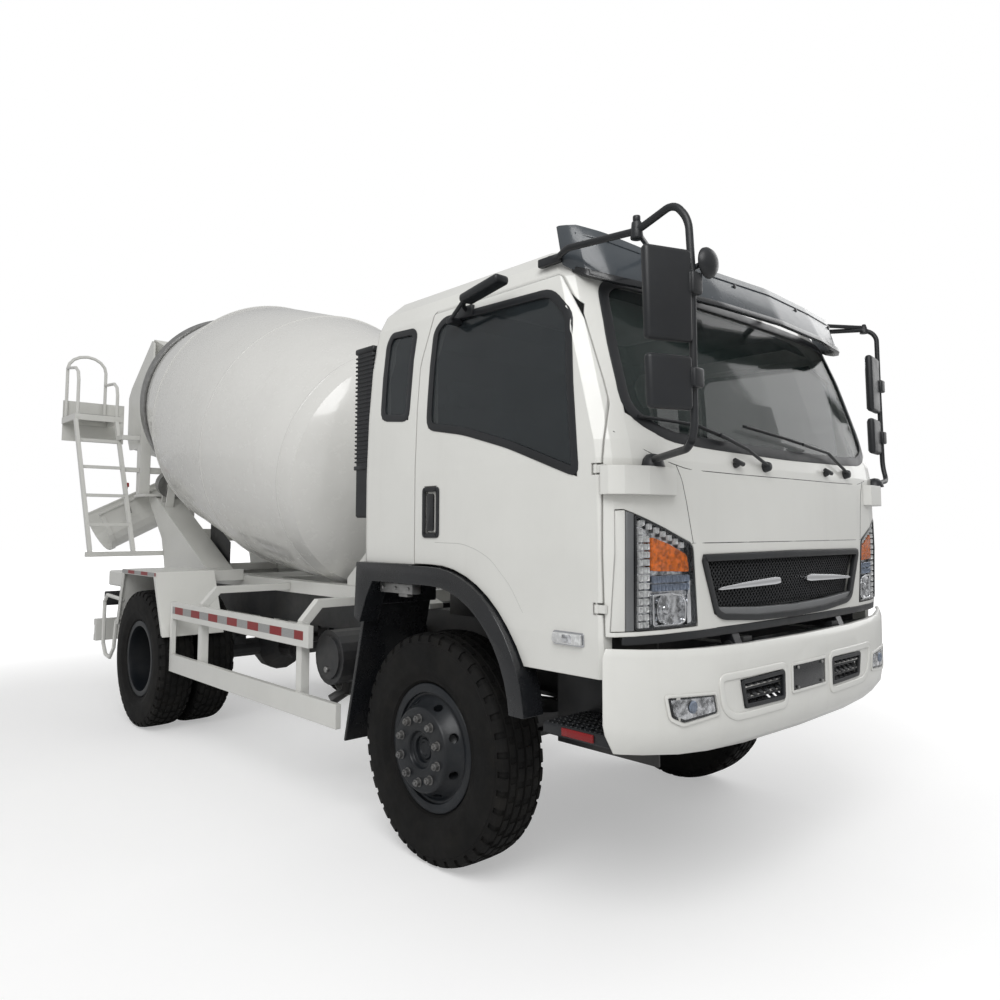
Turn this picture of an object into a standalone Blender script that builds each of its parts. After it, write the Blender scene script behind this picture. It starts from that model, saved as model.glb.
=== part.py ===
"""Two-axle concrete mixer truck: cab-over chassis, inclined drum, hopper, swinging chute.

Metres, +Z up. While it is built, the front axle is at y = 0 with the cab facing -Y and the
ground at z = 0. At the end the whole model is shifted along Y so that the middle of its
bounding box stands over the origin.
"""
import math

import bmesh
import bpy
from mathutils import Matrix, Vector

GAP = 0.0003            # between pieces that touch
SEAM = 0.006            # round a door or another piece that swings
WELD = 0.004            # depth by which shapes of one piece run into each other

# Chassis
WHEELBASE = 3.60
FRAME_FRONT = -1.27
FRAME_REAR = 4.75
RAIL_OUTER = 0.425
RAIL_FLANGE = 0.075
RAIL_WALL = 0.012
RAIL_BOTTOM = 0.845
RAIL_TOP = 1.065
SUB_OUTER = 0.460
SUB_WIDTH = 0.100
SUB_HEIGHT = 0.090
SUB_FRONT = 0.80
SUB_REAR = 4.95
CROSS_HALF = 0.040
CROSS_BOTTOM = 0.900
CROSS_TOP = 1.030
CROSS_PLACES = (-0.66, 1.38, 1.95, 2.72, 4.15, 4.66)

# Wheels
TYRE_RADIUS = 0.527
TYRE_HALF = 0.1385
WHEEL_STEPS = 24
SEAT_RADIUS = 0.260
SEAT_HALF = 0.0975
FLANGE_RADIUS = 0.293
FLANGE_HALF = 0.110
BARREL_INNER = 0.250
BORE_RADIUS = 0.0600
SPINDLE_RADIUS = 0.0593
FRONT_WHEEL_X = 0.952
KINGPIN_X = 0.780
REAR_INNER_X = 0.756
REAR_OUTER_X = 1.066
REAR_DISC_X = 0.911
NUT_CIRCLE = 0.143
HAND_HOLES = 8

# Drum: along its axis s runs from the front dome's rim towards the mouth
DRUM_ORIGIN_Y = 1.901
DRUM_ORIGIN_Z = 1.969
DRUM_TILT = math.radians(16.08)
DRUM_WALL = 0.014
DOME_DEPTH = 0.350
DOME_RADIUS = 0.893
BELLY_START = 0.937
BELLY_END = 2.000
BELLY_RADIUS = 1.057
RACE_START = 2.905
RACE_END = 3.020
RACE_RADIUS = 0.850
NECK_RADIUS = 0.800
MOUTH_S = 3.620
MOUTH_RADIUS = 0.470
DRUM_STEPS = 36
BOSS_RADIUS = 0.200
BOSS_S = -0.410
ROLLER_RADIUS = 0.125
ROLLER_HALF = 0.045
ROLLER_ANGLE = math.radians(30.0)

# Cab: (height, half width, front on the middle line, back wall)
CAB_SECTIONS = (
    (0.995, 1.135, -1.255, 0.460),
    (1.140, 1.145, -1.262, 0.460),
    (1.450, 1.150, -1.270, 0.460),
    (1.800, 1.150, -1.262, 0.460),
    (1.870, 1.148, -1.250, 0.460),
    (2.100, 1.140, -1.185, 0.460),
    (2.350, 1.120, -1.105, 0.460),
    (2.550, 1.090, -1.030, 0.455),
    (2.640, 1.050, -0.970, 0.440),
    (2.710, 0.980, -0.880, 0.400),
    (2.745, 0.850, -0.740, 0.330),
    (2.760, 0.600, -0.500, 0.180),
)
# Front of the plan: (share of the half width, how far behind the middle of the front)
CAB_FRONT_CURVE = ((0.33, 0.005), (0.62, 0.018), (0.80, 0.042), (0.91, 0.075), (0.97, 0.110), (1.0, 0.160))
CAB_WALL = 0.050
CAB_BOTTOM = 1.150
ARCH_TOP = 1.375
FLOOR_THICK = 0.055
TILT_Y = -1.235
TILT_Z = 1.070
TILT_PIN = 0.020
TILT_BOSS = 0.034
DOOR_INNER_X = 1.085
DOOR_FRONT_Y = -1.118
DOOR_REAR_Y = 0.012
DOOR_BOTTOM = 0.995
DOOR_HINGE_X = 1.1435
DOOR_HINGE_Y = -1.0960
DOOR_HINGES = (1.250, 1.760)
HINGE_HALF = 0.016
HINGE_PIN = 0.0040
HINGE_EYE = 0.0045
ARCH_CENTRE_Y = -0.130
ARCH_CENTRE_Z = 0.750
ARCH_HALF_Y = 0.620
ARCH_HALF_Z = 0.625
FLARE_BAND = 0.085

# Bumper
BUMPER_HALF = 1.180
BUMPER_WALL = 0.025
BUMPER_FRONT = -1.330
BUMPER_BACK = -1.150
# Front of the bumper's plan: (share of the half width, share of the depth behind the middle)
BUMPER_CURVE = ((0.0, 0.0), (0.40, 0.05), (0.62, 0.15), (0.76, 0.30), (0.90, 0.65), (0.975, 0.88), (1.0, 1.0))

# Pedestals and what stands on them
ROLLER_X = (RACE_RADIUS + GAP + ROLLER_RADIUS) * math.sin(ROLLER_ANGLE)
LEG_INNER = ROLLER_X - 0.168
LEG_OUTER = ROLLER_X + 0.062
LEG_TOP = 1.880
POST_OUTER = LEG_OUTER + 0.110
POST_Y = (5.330, 5.430)
POST_TOP = 2.860
CHUTE_Y = 5.740
CHUTE_PIN_Z = 1.660
CHUTE_SLOPE = math.radians(27.0)
CHUTE_HALF = 0.240
CHUTE_DEPTH = 0.400
CHUTE_WALL = 0.008

# Ladder and platform on the right (-X) side
LADDER_OUTER = 1.190
LADDER_INNER = 0.815
LADDER_FOOT = (4.950, 1.330)
LADDER_HEAD = (5.600, 2.620)
PLATFORM_Y = (5.600, 6.080)
PLATFORM_Z = (2.620, 2.680)
PLATFORM_X = (-1.200, -0.755)
PANEL_X = (-1.190, -0.600)
PANEL_Z = (2.450, 2.865)
PANEL_THICK = 0.015

COLLECTION = "concrete_mixer_truck"
PAINT = {
    "white": ((0.80, 0.80, 0.78), 0.28, 0.0),
    "black": ((0.020, 0.021, 0.023), 0.55, 0.0),
    "chassis": ((0.025, 0.027, 0.030), 0.50, 0.3),
    "rubber": ((0.016, 0.016, 0.017), 0.85, 0.0),
    "rim": ((0.045, 0.052, 0.058), 0.42, 0.5),
    "steel": ((0.35, 0.36, 0.37), 0.38, 1.0),
    "glass": ((0.04, 0.05, 0.05), 0.05, 0.0),
    "lamp": ((0.70, 0.71, 0.72), 0.12, 0.2),
    "trim": ((0.09, 0.095, 0.10), 0.60, 0.0),
}


# Scene and mesh helpers

def clear_scene():
    for obj in list(bpy.data.objects):
        bpy.data.objects.remove(obj)


def paint(name):
    """One Principled material for each finish."""
    if name in bpy.data.materials:
        return bpy.data.materials[name]
    colour, roughness, metallic = PAINT[name]
    material = bpy.data.materials.new(name)
    material.use_nodes = True
    shader = material.node_tree.nodes["Principled BSDF"]
    shader.inputs["Base Color"].default_value = (*colour, 1.0)
    shader.inputs["Roughness"].default_value = roughness
    shader.inputs["Metallic"].default_value = metallic
    return material


def add(name, data):
    obj = bpy.data.objects.new(name, data)
    bpy.data.collections[COLLECTION].objects.link(obj)
    return obj


def from_bmesh(name, shape):
    bmesh.ops.recalc_face_normals(shape, faces=shape.faces)
    mesh = bpy.data.meshes.new(name)
    shape.to_mesh(mesh)
    shape.free()
    return add(name, mesh)


def bake(obj, face_out=True):
    """Replace an object's curve or modifiers by the mesh that they make, in world space."""
    bpy.context.view_layer.update()
    evaluated = obj.evaluated_get(bpy.context.evaluated_depsgraph_get())
    mesh = bpy.data.meshes.new_from_object(evaluated)
    mesh.transform(obj.matrix_world)
    shape = bmesh.new()
    shape.from_mesh(mesh)
    bmesh.ops.remove_doubles(shape, verts=shape.verts, dist=0.00002)
    bmesh.ops.dissolve_degenerate(shape, edges=shape.edges, dist=0.00001)
    if face_out:
        bmesh.ops.recalc_face_normals(shape, faces=shape.faces)
    shape.to_mesh(mesh)
    shape.free()
    name = obj.name
    bpy.data.objects.remove(obj)
    return add(name, mesh)


def combine(target, others, operation, folded=False):
    """Join, cut or intersect; folded is for bars that bend so sharply that they touch themselves."""
    for other in others:
        step = target.modifiers.new(operation, "BOOLEAN")
        step.operation = operation
        step.object = other
        step.use_self = folded
        target = bake(target, face_out=False)
        bpy.data.objects.remove(other)
    return target


def fuse(name, pieces, folded=False):
    result = combine(pieces[0], pieces[1:], "UNION", folded)
    result.name = name
    return result


def cut(target, cutters):
    return combine(target, cutters, "DIFFERENCE")


def keep(target, other):
    return combine(target, [other], "INTERSECT")


def finish(obj, name, colour, smooth=None):
    obj.name = name
    obj.data.name = name
    obj.data.materials.clear()
    obj.data.materials.append(paint(colour))
    if smooth is not None:
        obj.data.shade_smooth()
        obj.data.set_sharp_from_angle(angle=math.radians(smooth))
    return obj


def block(x, y, z, bevel=0.0):
    """A box between two limits on each axis, with its edges rounded by bevel."""
    shape = bmesh.new()
    size = Matrix.Diagonal((abs(x[1] - x[0]), abs(y[1] - y[0]), abs(z[1] - z[0]), 1.0))
    place = Matrix.Translation((sum(x) / 2, sum(y) / 2, sum(z) / 2))
    bmesh.ops.create_cube(shape, size=1.0, matrix=place @ size)
    obj = from_bmesh("block", shape)
    if bevel:
        edge = obj.modifiers.new("edges", "BEVEL")
        edge.width = bevel
        edge.segments = 1
        obj = bake(obj)
    return obj


def rod(start, end, radius, sides=16, end_radius=None):
    """A cylinder or cone from one point to another."""
    a, b = Vector(start), Vector(end)
    shape = bmesh.new()
    turn = Vector((0, 0, 1)).rotation_difference(b - a).to_matrix().to_4x4()
    bmesh.ops.create_cone(shape, cap_ends=True, segments=sides, radius1=radius,
                          radius2=radius if end_radius is None else end_radius,
                          depth=(b - a).length, matrix=Matrix.Translation((a + b) / 2) @ turn)
    return from_bmesh("rod", shape)


def prism(outline, axis, low, high, holes=()):
    """A flat outline extruded along X, Y or Z; its two numbers are the other axes in order."""
    curve = bpy.data.curves.new("outline", "CURVE")
    curve.dimensions = "2D"
    curve.fill_mode = "BOTH"
    curve.extrude = (high - low) / 2
    for ring in (outline, *holes):
        spline = curve.splines.new("POLY")
        spline.points.add(len(ring) - 1)
        spline.use_cyclic_u = True
        for point, (a, b) in zip(spline.points, ring):
            point.co = (a, b, 0.0, 1.0)
    obj = add("outline", curve)
    middle = (low + high) / 2
    columns = {
        "X": ((0, 1, 0), (0, 0, 1), (1, 0, 0), (middle, 0, 0)),
        "Y": ((1, 0, 0), (0, 0, 1), (0, -1, 0), (0, middle, 0)),
        "Z": ((1, 0, 0), (0, 1, 0), (0, 0, 1), (0, 0, middle)),
    }[axis]
    matrix = Matrix([(*row, columns[3][i]) for i, row in enumerate(zip(*columns[:3]))] + [(0, 0, 0, 1)])
    obj.matrix_world = matrix
    return bake(obj)


def tube(points, radius, sides=8, closed=False):
    """A round bar along a run of points."""
    curve = bpy.data.curves.new("tube", "CURVE")
    curve.dimensions = "3D"
    curve.bevel_depth = radius
    curve.bevel_resolution = sides // 2 - 2
    curve.use_fill_caps = not closed
    spline = curve.splines.new("POLY")
    spline.points.add(len(points) - 1)
    spline.use_cyclic_u = closed
    for point, place in zip(spline.points, points):
        point.co = (*place, 1.0)
    return bake(add("tube", curve))


def turned(profile, steps, closed=True):
    """Turn a profile of (along, radius) points about local Z."""
    mesh = bpy.data.meshes.new("profile")
    count = len(profile)
    edges = [(i, i + 1) for i in range(count - 1)] + ([(count - 1, 0)] if closed else [])
    mesh.from_pydata([(radius, 0.0, along) for along, radius in profile], edges, [])
    obj = add("turned", mesh)
    screw = obj.modifiers.new("turn", "SCREW")
    screw.steps = screw.render_steps = steps
    screw.use_merge_vertices = True
    screw.merge_threshold = 0.00005
    screw.use_normal_calculate = True
    return obj


def turned_x(profile, steps, side, centre):
    """A turned piece whose axis is world X; along runs outwards on the given side."""
    obj = turned(profile, steps)
    out = Matrix.Rotation(side * math.pi / 2, 4, "Y")
    obj.matrix_world = Matrix.Translation(centre) @ out
    return bake(obj)


def loft(rings):
    """A closed skin through rings of equally many points, with flat ends."""
    shape = bmesh.new()
    levels = [[shape.verts.new(point) for point in ring] for ring in rings]
    count = len(levels[0])
    for lower, upper in zip(levels, levels[1:]):
        for i in range(count):
            j = (i + 1) % count
            shape.faces.new((lower[i], lower[j], upper[j], upper[i]))
    shape.faces.new(levels[0])
    shape.faces.new(levels[-1])
    bmesh.ops.triangulate(shape, faces=[f for f in shape.faces if len(f.verts) > 4])
    return from_bmesh("loft", shape)


def arc(centre, half_a, half_b, start, end, steps):
    """Points on an ellipse, angles in degrees from the first axis."""
    points = []
    for i in range(steps + 1):
        angle = math.radians(start + (end - start) * i / steps)
        points.append((centre[0] + half_a * math.cos(angle), centre[1] + half_b * math.sin(angle)))
    return points


def mirrored_pair(side, low, high):
    """Limits on X for a piece between two distances from the middle line."""
    return (low, high) if side > 0 else (-high, -low)


def drum_point(s, rho=0.0, x=0.0):
    """World point at s along the drum's axis and rho above it."""
    y = DRUM_ORIGIN_Y + s * math.cos(DRUM_TILT) - rho * math.sin(DRUM_TILT)
    z = DRUM_ORIGIN_Z + s * math.sin(DRUM_TILT) + rho * math.cos(DRUM_TILT)
    return (x, y, z)


def drum_matrix():
    return Matrix.Translation(drum_point(0.0)) @ Matrix.Rotation(DRUM_TILT - math.pi / 2, 4, "X")


SUB_BOTTOM = RAIL_TOP + GAP
SUB_TOP = SUB_BOTTOM + SUB_HEIGHT


# Chassis

def make_frame():
    """Two channel rails, their cross members, spring hangers and the cab's mounts."""
    inner = RAIL_OUTER - RAIL_FLANGE
    pieces = []
    for side in (-1, 1):
        web = RAIL_OUTER - RAIL_WALL
        channel = [(RAIL_OUTER, RAIL_BOTTOM), (RAIL_OUTER, RAIL_TOP), (inner, RAIL_TOP),
                   (inner, RAIL_TOP - RAIL_WALL), (web, RAIL_TOP - RAIL_WALL),
                   (web, RAIL_BOTTOM + RAIL_WALL), (inner, RAIL_BOTTOM + RAIL_WALL), (inner, RAIL_BOTTOM)]
        pieces.append(prism([(side * a, b) for a, b in channel], "Y", FRAME_FRONT, FRAME_REAR))
        for y in (-SPRING_REACH, SPRING_REACH, WHEELBASE - SPRING_REACH, WHEELBASE + SPRING_REACH):
            pieces.append(block(mirrored_pair(side, SPRING_X - 0.035, SPRING_X + 0.035),
                                (y - 0.05, y + 0.05), (SPRING_END_TOP + GAP, RAIL_BOTTOM + WELD)))
        pieces.append(block(mirrored_pair(side, 0.365, 0.420), CAB_REST_Y,
                            (RAIL_TOP - WELD, ARCH_TOP - GAP)))
        pieces.append(block(mirrored_pair(side, 0.365, 0.430), (TILT_Y - 0.030, TILT_Y + 0.030),
                            (RAIL_TOP - WELD, TILT_Z + 0.030)))
        pieces.append(rod((side * 0.426, TILT_Y, TILT_Z), (side * 0.500, TILT_Y, TILT_Z), TILT_PIN, 16))
    web = RAIL_OUTER - RAIL_WALL / 2
    for y in CROSS_PLACES:
        pieces.append(block((-web, web), (y - CROSS_HALF, y + CROSS_HALF), (CROSS_BOTTOM, CROSS_TOP)))
    pieces.append(block((-web, web), (FRAME_FRONT, FRAME_FRONT + 0.09), (RAIL_BOTTOM + 0.02, 0.99)))
    return finish(fuse("frame", pieces), "frame", "chassis")


SPRING_X = 0.390
SPRING_REACH = 0.560
SPRING_END_TOP = 0.790
SPRING_LEAF = 0.060
CAB_REST_Y = (0.360, 0.420)


def make_subframe():
    """The mixer's own two beams on top of the rails, tapered at the front, with cross pieces."""
    pieces = []
    for side in (-1, 1):
        outline = [(SUB_FRONT, SUB_BOTTOM), (SUB_REAR, SUB_BOTTOM), (SUB_REAR, SUB_TOP),
                   (SUB_FRONT + 0.18, SUB_TOP), (SUB_FRONT, SUB_BOTTOM + 0.03)]
        low, high = mirrored_pair(side, SUB_OUTER - SUB_WIDTH, SUB_OUTER)
        pieces.append(prism(outline, "X", low, high))
    inner = SUB_OUTER - SUB_WIDTH / 2
    for y in (1.10, 3.05, 3.70, 4.40, 4.90):
        pieces.append(block((-inner, inner), (y - 0.035, y + 0.035), (SUB_BOTTOM + 0.006, SUB_TOP - 0.006)))
    return finish(fuse("subframe", pieces), "subframe", "white")


def leaf_spring(y, side, pad_top):
    """A leaf pack that sags from its two ends to the axle's pad."""
    ends = SPRING_END_TOP
    low, high = mirrored_pair(side, SPRING_X - 0.035, SPRING_X + 0.035)
    count = 6
    top = [(y + SPRING_REACH * (2 * i / count - 1),
            pad_top + (ends - pad_top) * (2 * i / count - 1) ** 2) for i in range(count + 1)]
    under = [(a, b - SPRING_LEAF * (1.35 - abs(a - y) / SPRING_REACH)) for a, b in reversed(top)]
    pieces = [prism(top + under, "X", low, high)]
    for end in (y - SPRING_REACH, y + SPRING_REACH):
        pieces.append(block((low + 0.004, high - 0.004), (end - 0.045, end + 0.045), (ends - 0.055, ends)))
    return fuse("leaf_spring", pieces)


def make_front_axle():
    """Forged beam with kingpin bosses, carried by two leaf springs."""
    hub = TYRE_RADIUS
    pieces = [prism([(-0.055, hub - 0.055), (0.055, hub - 0.055), (0.055, hub - 0.030), (0.020, hub - 0.020),
                     (0.020, hub + 0.020), (0.055, hub + 0.030), (0.055, hub + 0.055), (-0.055, hub + 0.055),
                     (-0.055, hub + 0.030), (-0.020, hub + 0.020), (-0.020, hub - 0.020),
                     (-0.055, hub - 0.030)], "X", -KINGPIN_X + 0.02, KINGPIN_X - 0.02)]
    for side in (-1, 1):
        pieces.append(rod((side * KINGPIN_X, 0, hub - BOSS_HALF), (side * KINGPIN_X, 0, hub + BOSS_HALF),
                          0.045, 12))
        pieces.append(leaf_spring(0.0, side, hub + 0.140))
        pieces.append(block(mirrored_pair(side, SPRING_X - 0.05, SPRING_X + 0.05), (-0.07, 0.07),
                            (hub + 0.045, hub + 0.100)))
    return finish(fuse("front_axle", pieces), "front_axle", "chassis")


BOSS_HALF = 0.090


def make_knuckle(side, label):
    """Fork round the kingpin boss, and the spindle that carries the hub."""
    hub = TYRE_RADIUS
    pieces = [block(mirrored_pair(side, KINGPIN_X + 0.055, KINGPIN_X + 0.085), (-0.05, 0.05),
                    (hub - BOSS_HALF - 0.045, hub + BOSS_HALF + 0.045))]
    for sign in (-1, 1):
        near = hub + sign * (BOSS_HALF + GAP)
        far = hub + sign * (BOSS_HALF + 0.045)
        pieces.append(block(mirrored_pair(side, KINGPIN_X - 0.04, KINGPIN_X + 0.065), (-0.05, 0.05),
                            (min(near, far), max(near, far))))
    pieces.append(rod((side * (KINGPIN_X + 0.08), 0, hub), (side * (FRONT_WHEEL_X + 0.12), 0, hub),
                      SPINDLE_RADIUS, 20))
    return finish(fuse("knuckle_" + label, pieces), "knuckle_" + label, "chassis")


TYRE_PROFILE = ((-0.0965, SEAT_RADIUS + GAP), (-0.0965, 0.305), (-TYRE_HALF, 0.400), (-0.127, 0.498),
                (-0.104, TYRE_RADIUS), (0.104, TYRE_RADIUS), (0.127, 0.498), (TYRE_HALF, 0.400),
                (0.0965, 0.305), (0.0965, SEAT_RADIUS + GAP))


def make_tyre(name, side, x, y):
    obj = turned_x(TYRE_PROFILE, WHEEL_STEPS, side, (side * x, y, TYRE_RADIUS))
    return finish(obj, name, "rubber", 35)


def barrel(centre):
    """Outside of a rim from its outer flange to its inner one: the tyre's seat between them."""
    return [(centre + a, b) for a, b in (
        (FLANGE_HALF, BARREL_INNER), (FLANGE_HALF, FLANGE_RADIUS), (SEAT_HALF, FLANGE_RADIUS),
        (SEAT_HALF, SEAT_RADIUS), (-SEAT_HALF, SEAT_RADIUS), (-SEAT_HALF, FLANGE_RADIUS),
        (-FLANGE_HALF, FLANGE_RADIUS), (-FLANGE_HALF, BARREL_INNER))]


# Along the axle outwards and radius, from the inner flange in to the hub and out again
FRONT_CORE = [(0.000, BARREL_INNER), (0.015, 0.205), (-0.078, 0.205), (-0.078, BORE_RADIUS),
              (0.148, BORE_RADIUS), (0.148, 0.080), (0.170, 0.088), (0.170, 0.176), (0.040, 0.243)]
PAIR_HALF = (REAR_OUTER_X - REAR_INNER_X) / 2
REAR_CORE = [(-PAIR_HALF + 0.095, BARREL_INNER), (-0.022, 0.205), (-0.240, 0.205), (-0.240, BORE_RADIUS),
             (0.135, BORE_RADIUS), (0.135, 0.105), (0.022, 0.118), (0.022, 0.190),
             (PAIR_HALF - 0.095, BARREL_INNER)]


def hand_hole_cutters(side, x, y, start, end, circle):
    """Round holes through the slanted wall of a disc."""
    cutters = []
    for i in range(HAND_HOLES):
        angle = math.tau * (i + 0.5) / HAND_HOLES
        a, b = math.cos(angle), math.sin(angle)
        ends = [(side * (x + along), y + a * r, TYRE_RADIUS + b * r) for along, r in zip((start, end), circle)]
        cutters.append(rod(*ends, 0.021, 6))
    return cutters


def make_front_rim(side, label):
    """Rim with its dished disc and hub, bored for the spindle."""
    centre = (side * FRONT_WHEEL_X, 0.0, TYRE_RADIUS)
    wheel = turned_x(barrel(0.0) + FRONT_CORE, WHEEL_STEPS, side, centre)
    wheel = cut(wheel, hand_hole_cutters(side, FRONT_WHEEL_X, 0.0, 0.035, 0.130, (0.165, 0.258)))
    return finish(wheel, "rim_front_" + label, "rim", 35)


def make_rear_rims(side, label):
    """Two rims back to back on one hub with its brake drum."""
    centre = (side * REAR_DISC_X, WHEELBASE, TYRE_RADIUS)
    loop = barrel(PAIR_HALF) + [(0.0, 0.215)] + barrel(-PAIR_HALF) + REAR_CORE
    return finish(turned_x(loop, WHEEL_STEPS, side, centre), "rims_rear_" + label, "rim", 35)


def make_rear_axle():
    """Banjo housing with its tubes and spindles, under two leaf springs."""
    y, z = WHEELBASE, TYRE_RADIUS
    ball = turned([(-0.17, 0.0), (-0.17, 0.09), (-0.06, 0.21), (0.06, 0.21), (0.17, 0.09), (0.17, 0.0)],
                  14, closed=False)
    ball.matrix_world = Matrix.Translation((0, y, z)) @ Matrix.Rotation(math.pi / 2, 4, "X")
    pieces = [bake(ball), rod((-0.64, y, z), (0.64, y, z), 0.075, 12),
              rod((0, y - 0.15, z), (0, DIFF_NOSE_Y, z), 0.09, 12)]
    for side in (-1, 1):
        pieces.append(rod((side * 0.62, y, z), (side * 1.01, y, z), SPINDLE_RADIUS, 20))
        pieces.append(leaf_spring(y, side, z + 0.175))
        pieces.append(block(mirrored_pair(side, SPRING_X - 0.05, SPRING_X + 0.05), (y - 0.08, y + 0.08),
                            (z + 0.04, z + 0.135)))
    return finish(fuse("rear_axle", pieces), "rear_axle", "chassis")


DIFF_NOSE_Y = WHEELBASE - 0.36


def make_driveline():
    """Engine as a plain block, gearbox, and the shaft to the rear axle."""
    pieces = [block((-0.33, 0.33), (-0.44, 0.44), (0.66, 1.30), 0.03),
              rod((0, 0.40, 0.88), (0, 0.64, 0.88), 0.24, 14, 0.16),
              block((-0.17, 0.17), (0.58, 1.18), (0.74, 1.02), 0.03),
              rod((0, 1.15, 0.86), (0, 1.30, 0.85), 0.06, 10),
              rod((0, 1.28, 0.852), (0, DIFF_NOSE_Y - GAP - 0.03, TYRE_RADIUS), 0.045, 10),
              rod((0, DIFF_NOSE_Y - GAP - 0.06, TYRE_RADIUS), (0, DIFF_NOSE_Y - GAP, TYRE_RADIUS), 0.07, 10)]
    pieces += [block((-0.40, -0.30), (0.00, 0.08), (1.08, 1.16)), block((0.30, 0.40), (0.00, 0.08), (1.08, 1.16))]
    pieces += [block(span, (0.01, 0.07), (RAIL_TOP + GAP, 1.12)) for span in ((-0.40, -0.352), (0.352, 0.40))]
    return finish(fuse("driveline", pieces), "driveline", "chassis")


def make_silencer():
    """Cross-mounted exhaust silencer behind the right front wheel, with its outlet."""
    y, z, radius = 0.935, 0.830, 0.150
    pieces = [rod((-1.05, y, z), (-0.50, y, z), radius, 20),
              rod((-1.062, y, z), (-1.04, y, z), 0.118, 20),
              block((-0.52, -RAIL_OUTER - GAP), (y - 0.06, y + 0.06), (z + 0.03, z + 0.13)),
              tube([(-0.93, y - 0.02, z - 0.10), (-0.93, y + 0.02, z - 0.20), (-1.00, y + 0.06, z - 0.25)],
                   0.032, 8)]
    return finish(fuse("silencer", pieces), "silencer", "chassis", 30)


def make_fuel_tank():
    """Fuel tank on the left rail, on two brackets."""
    pieces = [block((0.52, 1.01), (0.86, 1.72), (0.48, 0.92), 0.05)]
    for y in (1.02, 1.56):
        pieces.append(block((RAIL_OUTER + GAP, 0.55), (y - 0.03, y + 0.03), (0.85, 1.00)))
        pieces.append(block((0.50, 1.02), (y - 0.03, y + 0.03), (0.91, 0.93)))
    return finish(fuse("fuel_tank", pieces), "fuel_tank", "steel", 30)


# Front end on the chassis

def bumper_plan(inset, wall):
    """Half of the bumper's plan as an outer and an inner run, from the middle to the back edge."""
    runs = []
    for drawn in (inset, inset + wall):
        half, start = BUMPER_HALF - drawn, BUMPER_FRONT + drawn
        depth = BUMPER_BACK - 0.004 - start
        run = [(half * share, start + depth * back) for share, back in BUMPER_CURVE]
        runs.append(run + [(half, BUMPER_BACK)])
    return runs


def make_bumper():
    """Wrapped bumper shell with air openings, plate panel, lamp openings and frame brackets."""
    faces = ([], [])
    # Height in the middle, height at the ends, and how far the shell is drawn in there
    for middle, end, inset in ((0.680, 0.752, 0.055), (0.720, 0.816, 0.010), (0.790, 0.850, 0.0),
                               (1.048, 1.085, 0.0), (1.080, 1.116, 0.018)):
        for face, run in zip(faces, bumper_plan(inset, BUMPER_WALL)):
            run = [(-x, y) for x, y in reversed(run)] + run[1:]
            face.append([(x, y, middle + (end - middle) * (abs(x) / BUMPER_HALF) ** 3) for x, y in run])
    front, back = faces
    shell = loft([list(outer) + list(reversed(inner)) for outer, inner in zip(zip(*front), zip(*back))])
    cutters = []
    for side in (-1, 1):
        outline = [(side * a, b) for a, b in ((0.215, 0.955), (0.545, 0.950), (0.520, 0.835), (0.215, 0.830))]
        cutters.append(prism(outline, "Y", -1.40, -1.20))
    shell = cut(shell, cutters)
    pieces = [shell]
    for side in (-1, 1):
        low, high = mirrored_pair(side, 0.06, 0.17)
        pieces.append(block((low, high), (BUMPER_FRONT + BUMPER_WALL - 0.006, FRAME_FRONT - GAP), (0.875, 0.975)))
        for z in (0.872, 0.914):
            pieces.append(block(mirrored_pair(side, 0.20, 0.56), (-1.314, -1.303), (z - 0.005, z + 0.005)))
    return finish(fuse("bumper", pieces), "bumper", "white", 30)


def make_step(side, label):
    """Entry step below the door, on an arm from the rail."""
    x0, x1 = mirrored_pair(side, 0.86, 1.12)
    tread = block((x0, x1), (-1.125, -0.790), (0.750, 0.795), 0.008)
    cutters = [block((x0 + 0.03, x1 - 0.03), (y - 0.012, y + 0.012), (0.70, 0.85))
               for y in (-1.07, -1.02, -0.97, -0.92, -0.87)]
    tread = cut(tread, cutters)
    low, high = mirrored_pair(side, RAIL_OUTER + GAP, 0.88)
    arms = [block((low, high), (y - 0.02, y + 0.02), (0.755, 0.790)) for y in (-1.095, -0.845)]
    low, high = mirrored_pair(side, RAIL_OUTER + GAP, RAIL_OUTER + 0.03)
    arms += [block((low, high), (-1.115, -0.825), (0.755, 0.97))]
    return finish(fuse("step_" + label, [tread] + arms), "step_" + label, "black")


# Mixer: supports

def make_front_pedestal():
    """Sloped side plates and a head that holds the drum's gearbox."""
    pieces = []
    top = 1.520
    for side in (-1, 1):
        low, high = mirrored_pair(side, 0.425, 0.450)
        pieces.append(prism([(0.98, SUB_TOP + GAP), (1.74, SUB_TOP + GAP), (1.74, SUB_TOP + 0.05),
                             (1.34, top), (1.02, top)], "X", low, high))
    pieces.append(block((-0.44, 0.44), (1.02, 1.34), (top - 0.03, top)))
    pieces.append(block((-0.44, 0.44), (1.02, 1.05), (SUB_TOP + 0.05, top)))
    cradle = [(-0.30, top - WELD), (0.30, top - WELD), (0.26, 1.62), (0.19, GEAR_SADDLE_Z),
              (-0.19, GEAR_SADDLE_Z), (-0.26, 1.62)]
    pieces.append(prism(cradle, "Y", 1.14, 1.24))
    return finish(fuse("front_pedestal", pieces), "front_pedestal", "white")


GEAR_SADDLE_Z = 1.640


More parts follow.
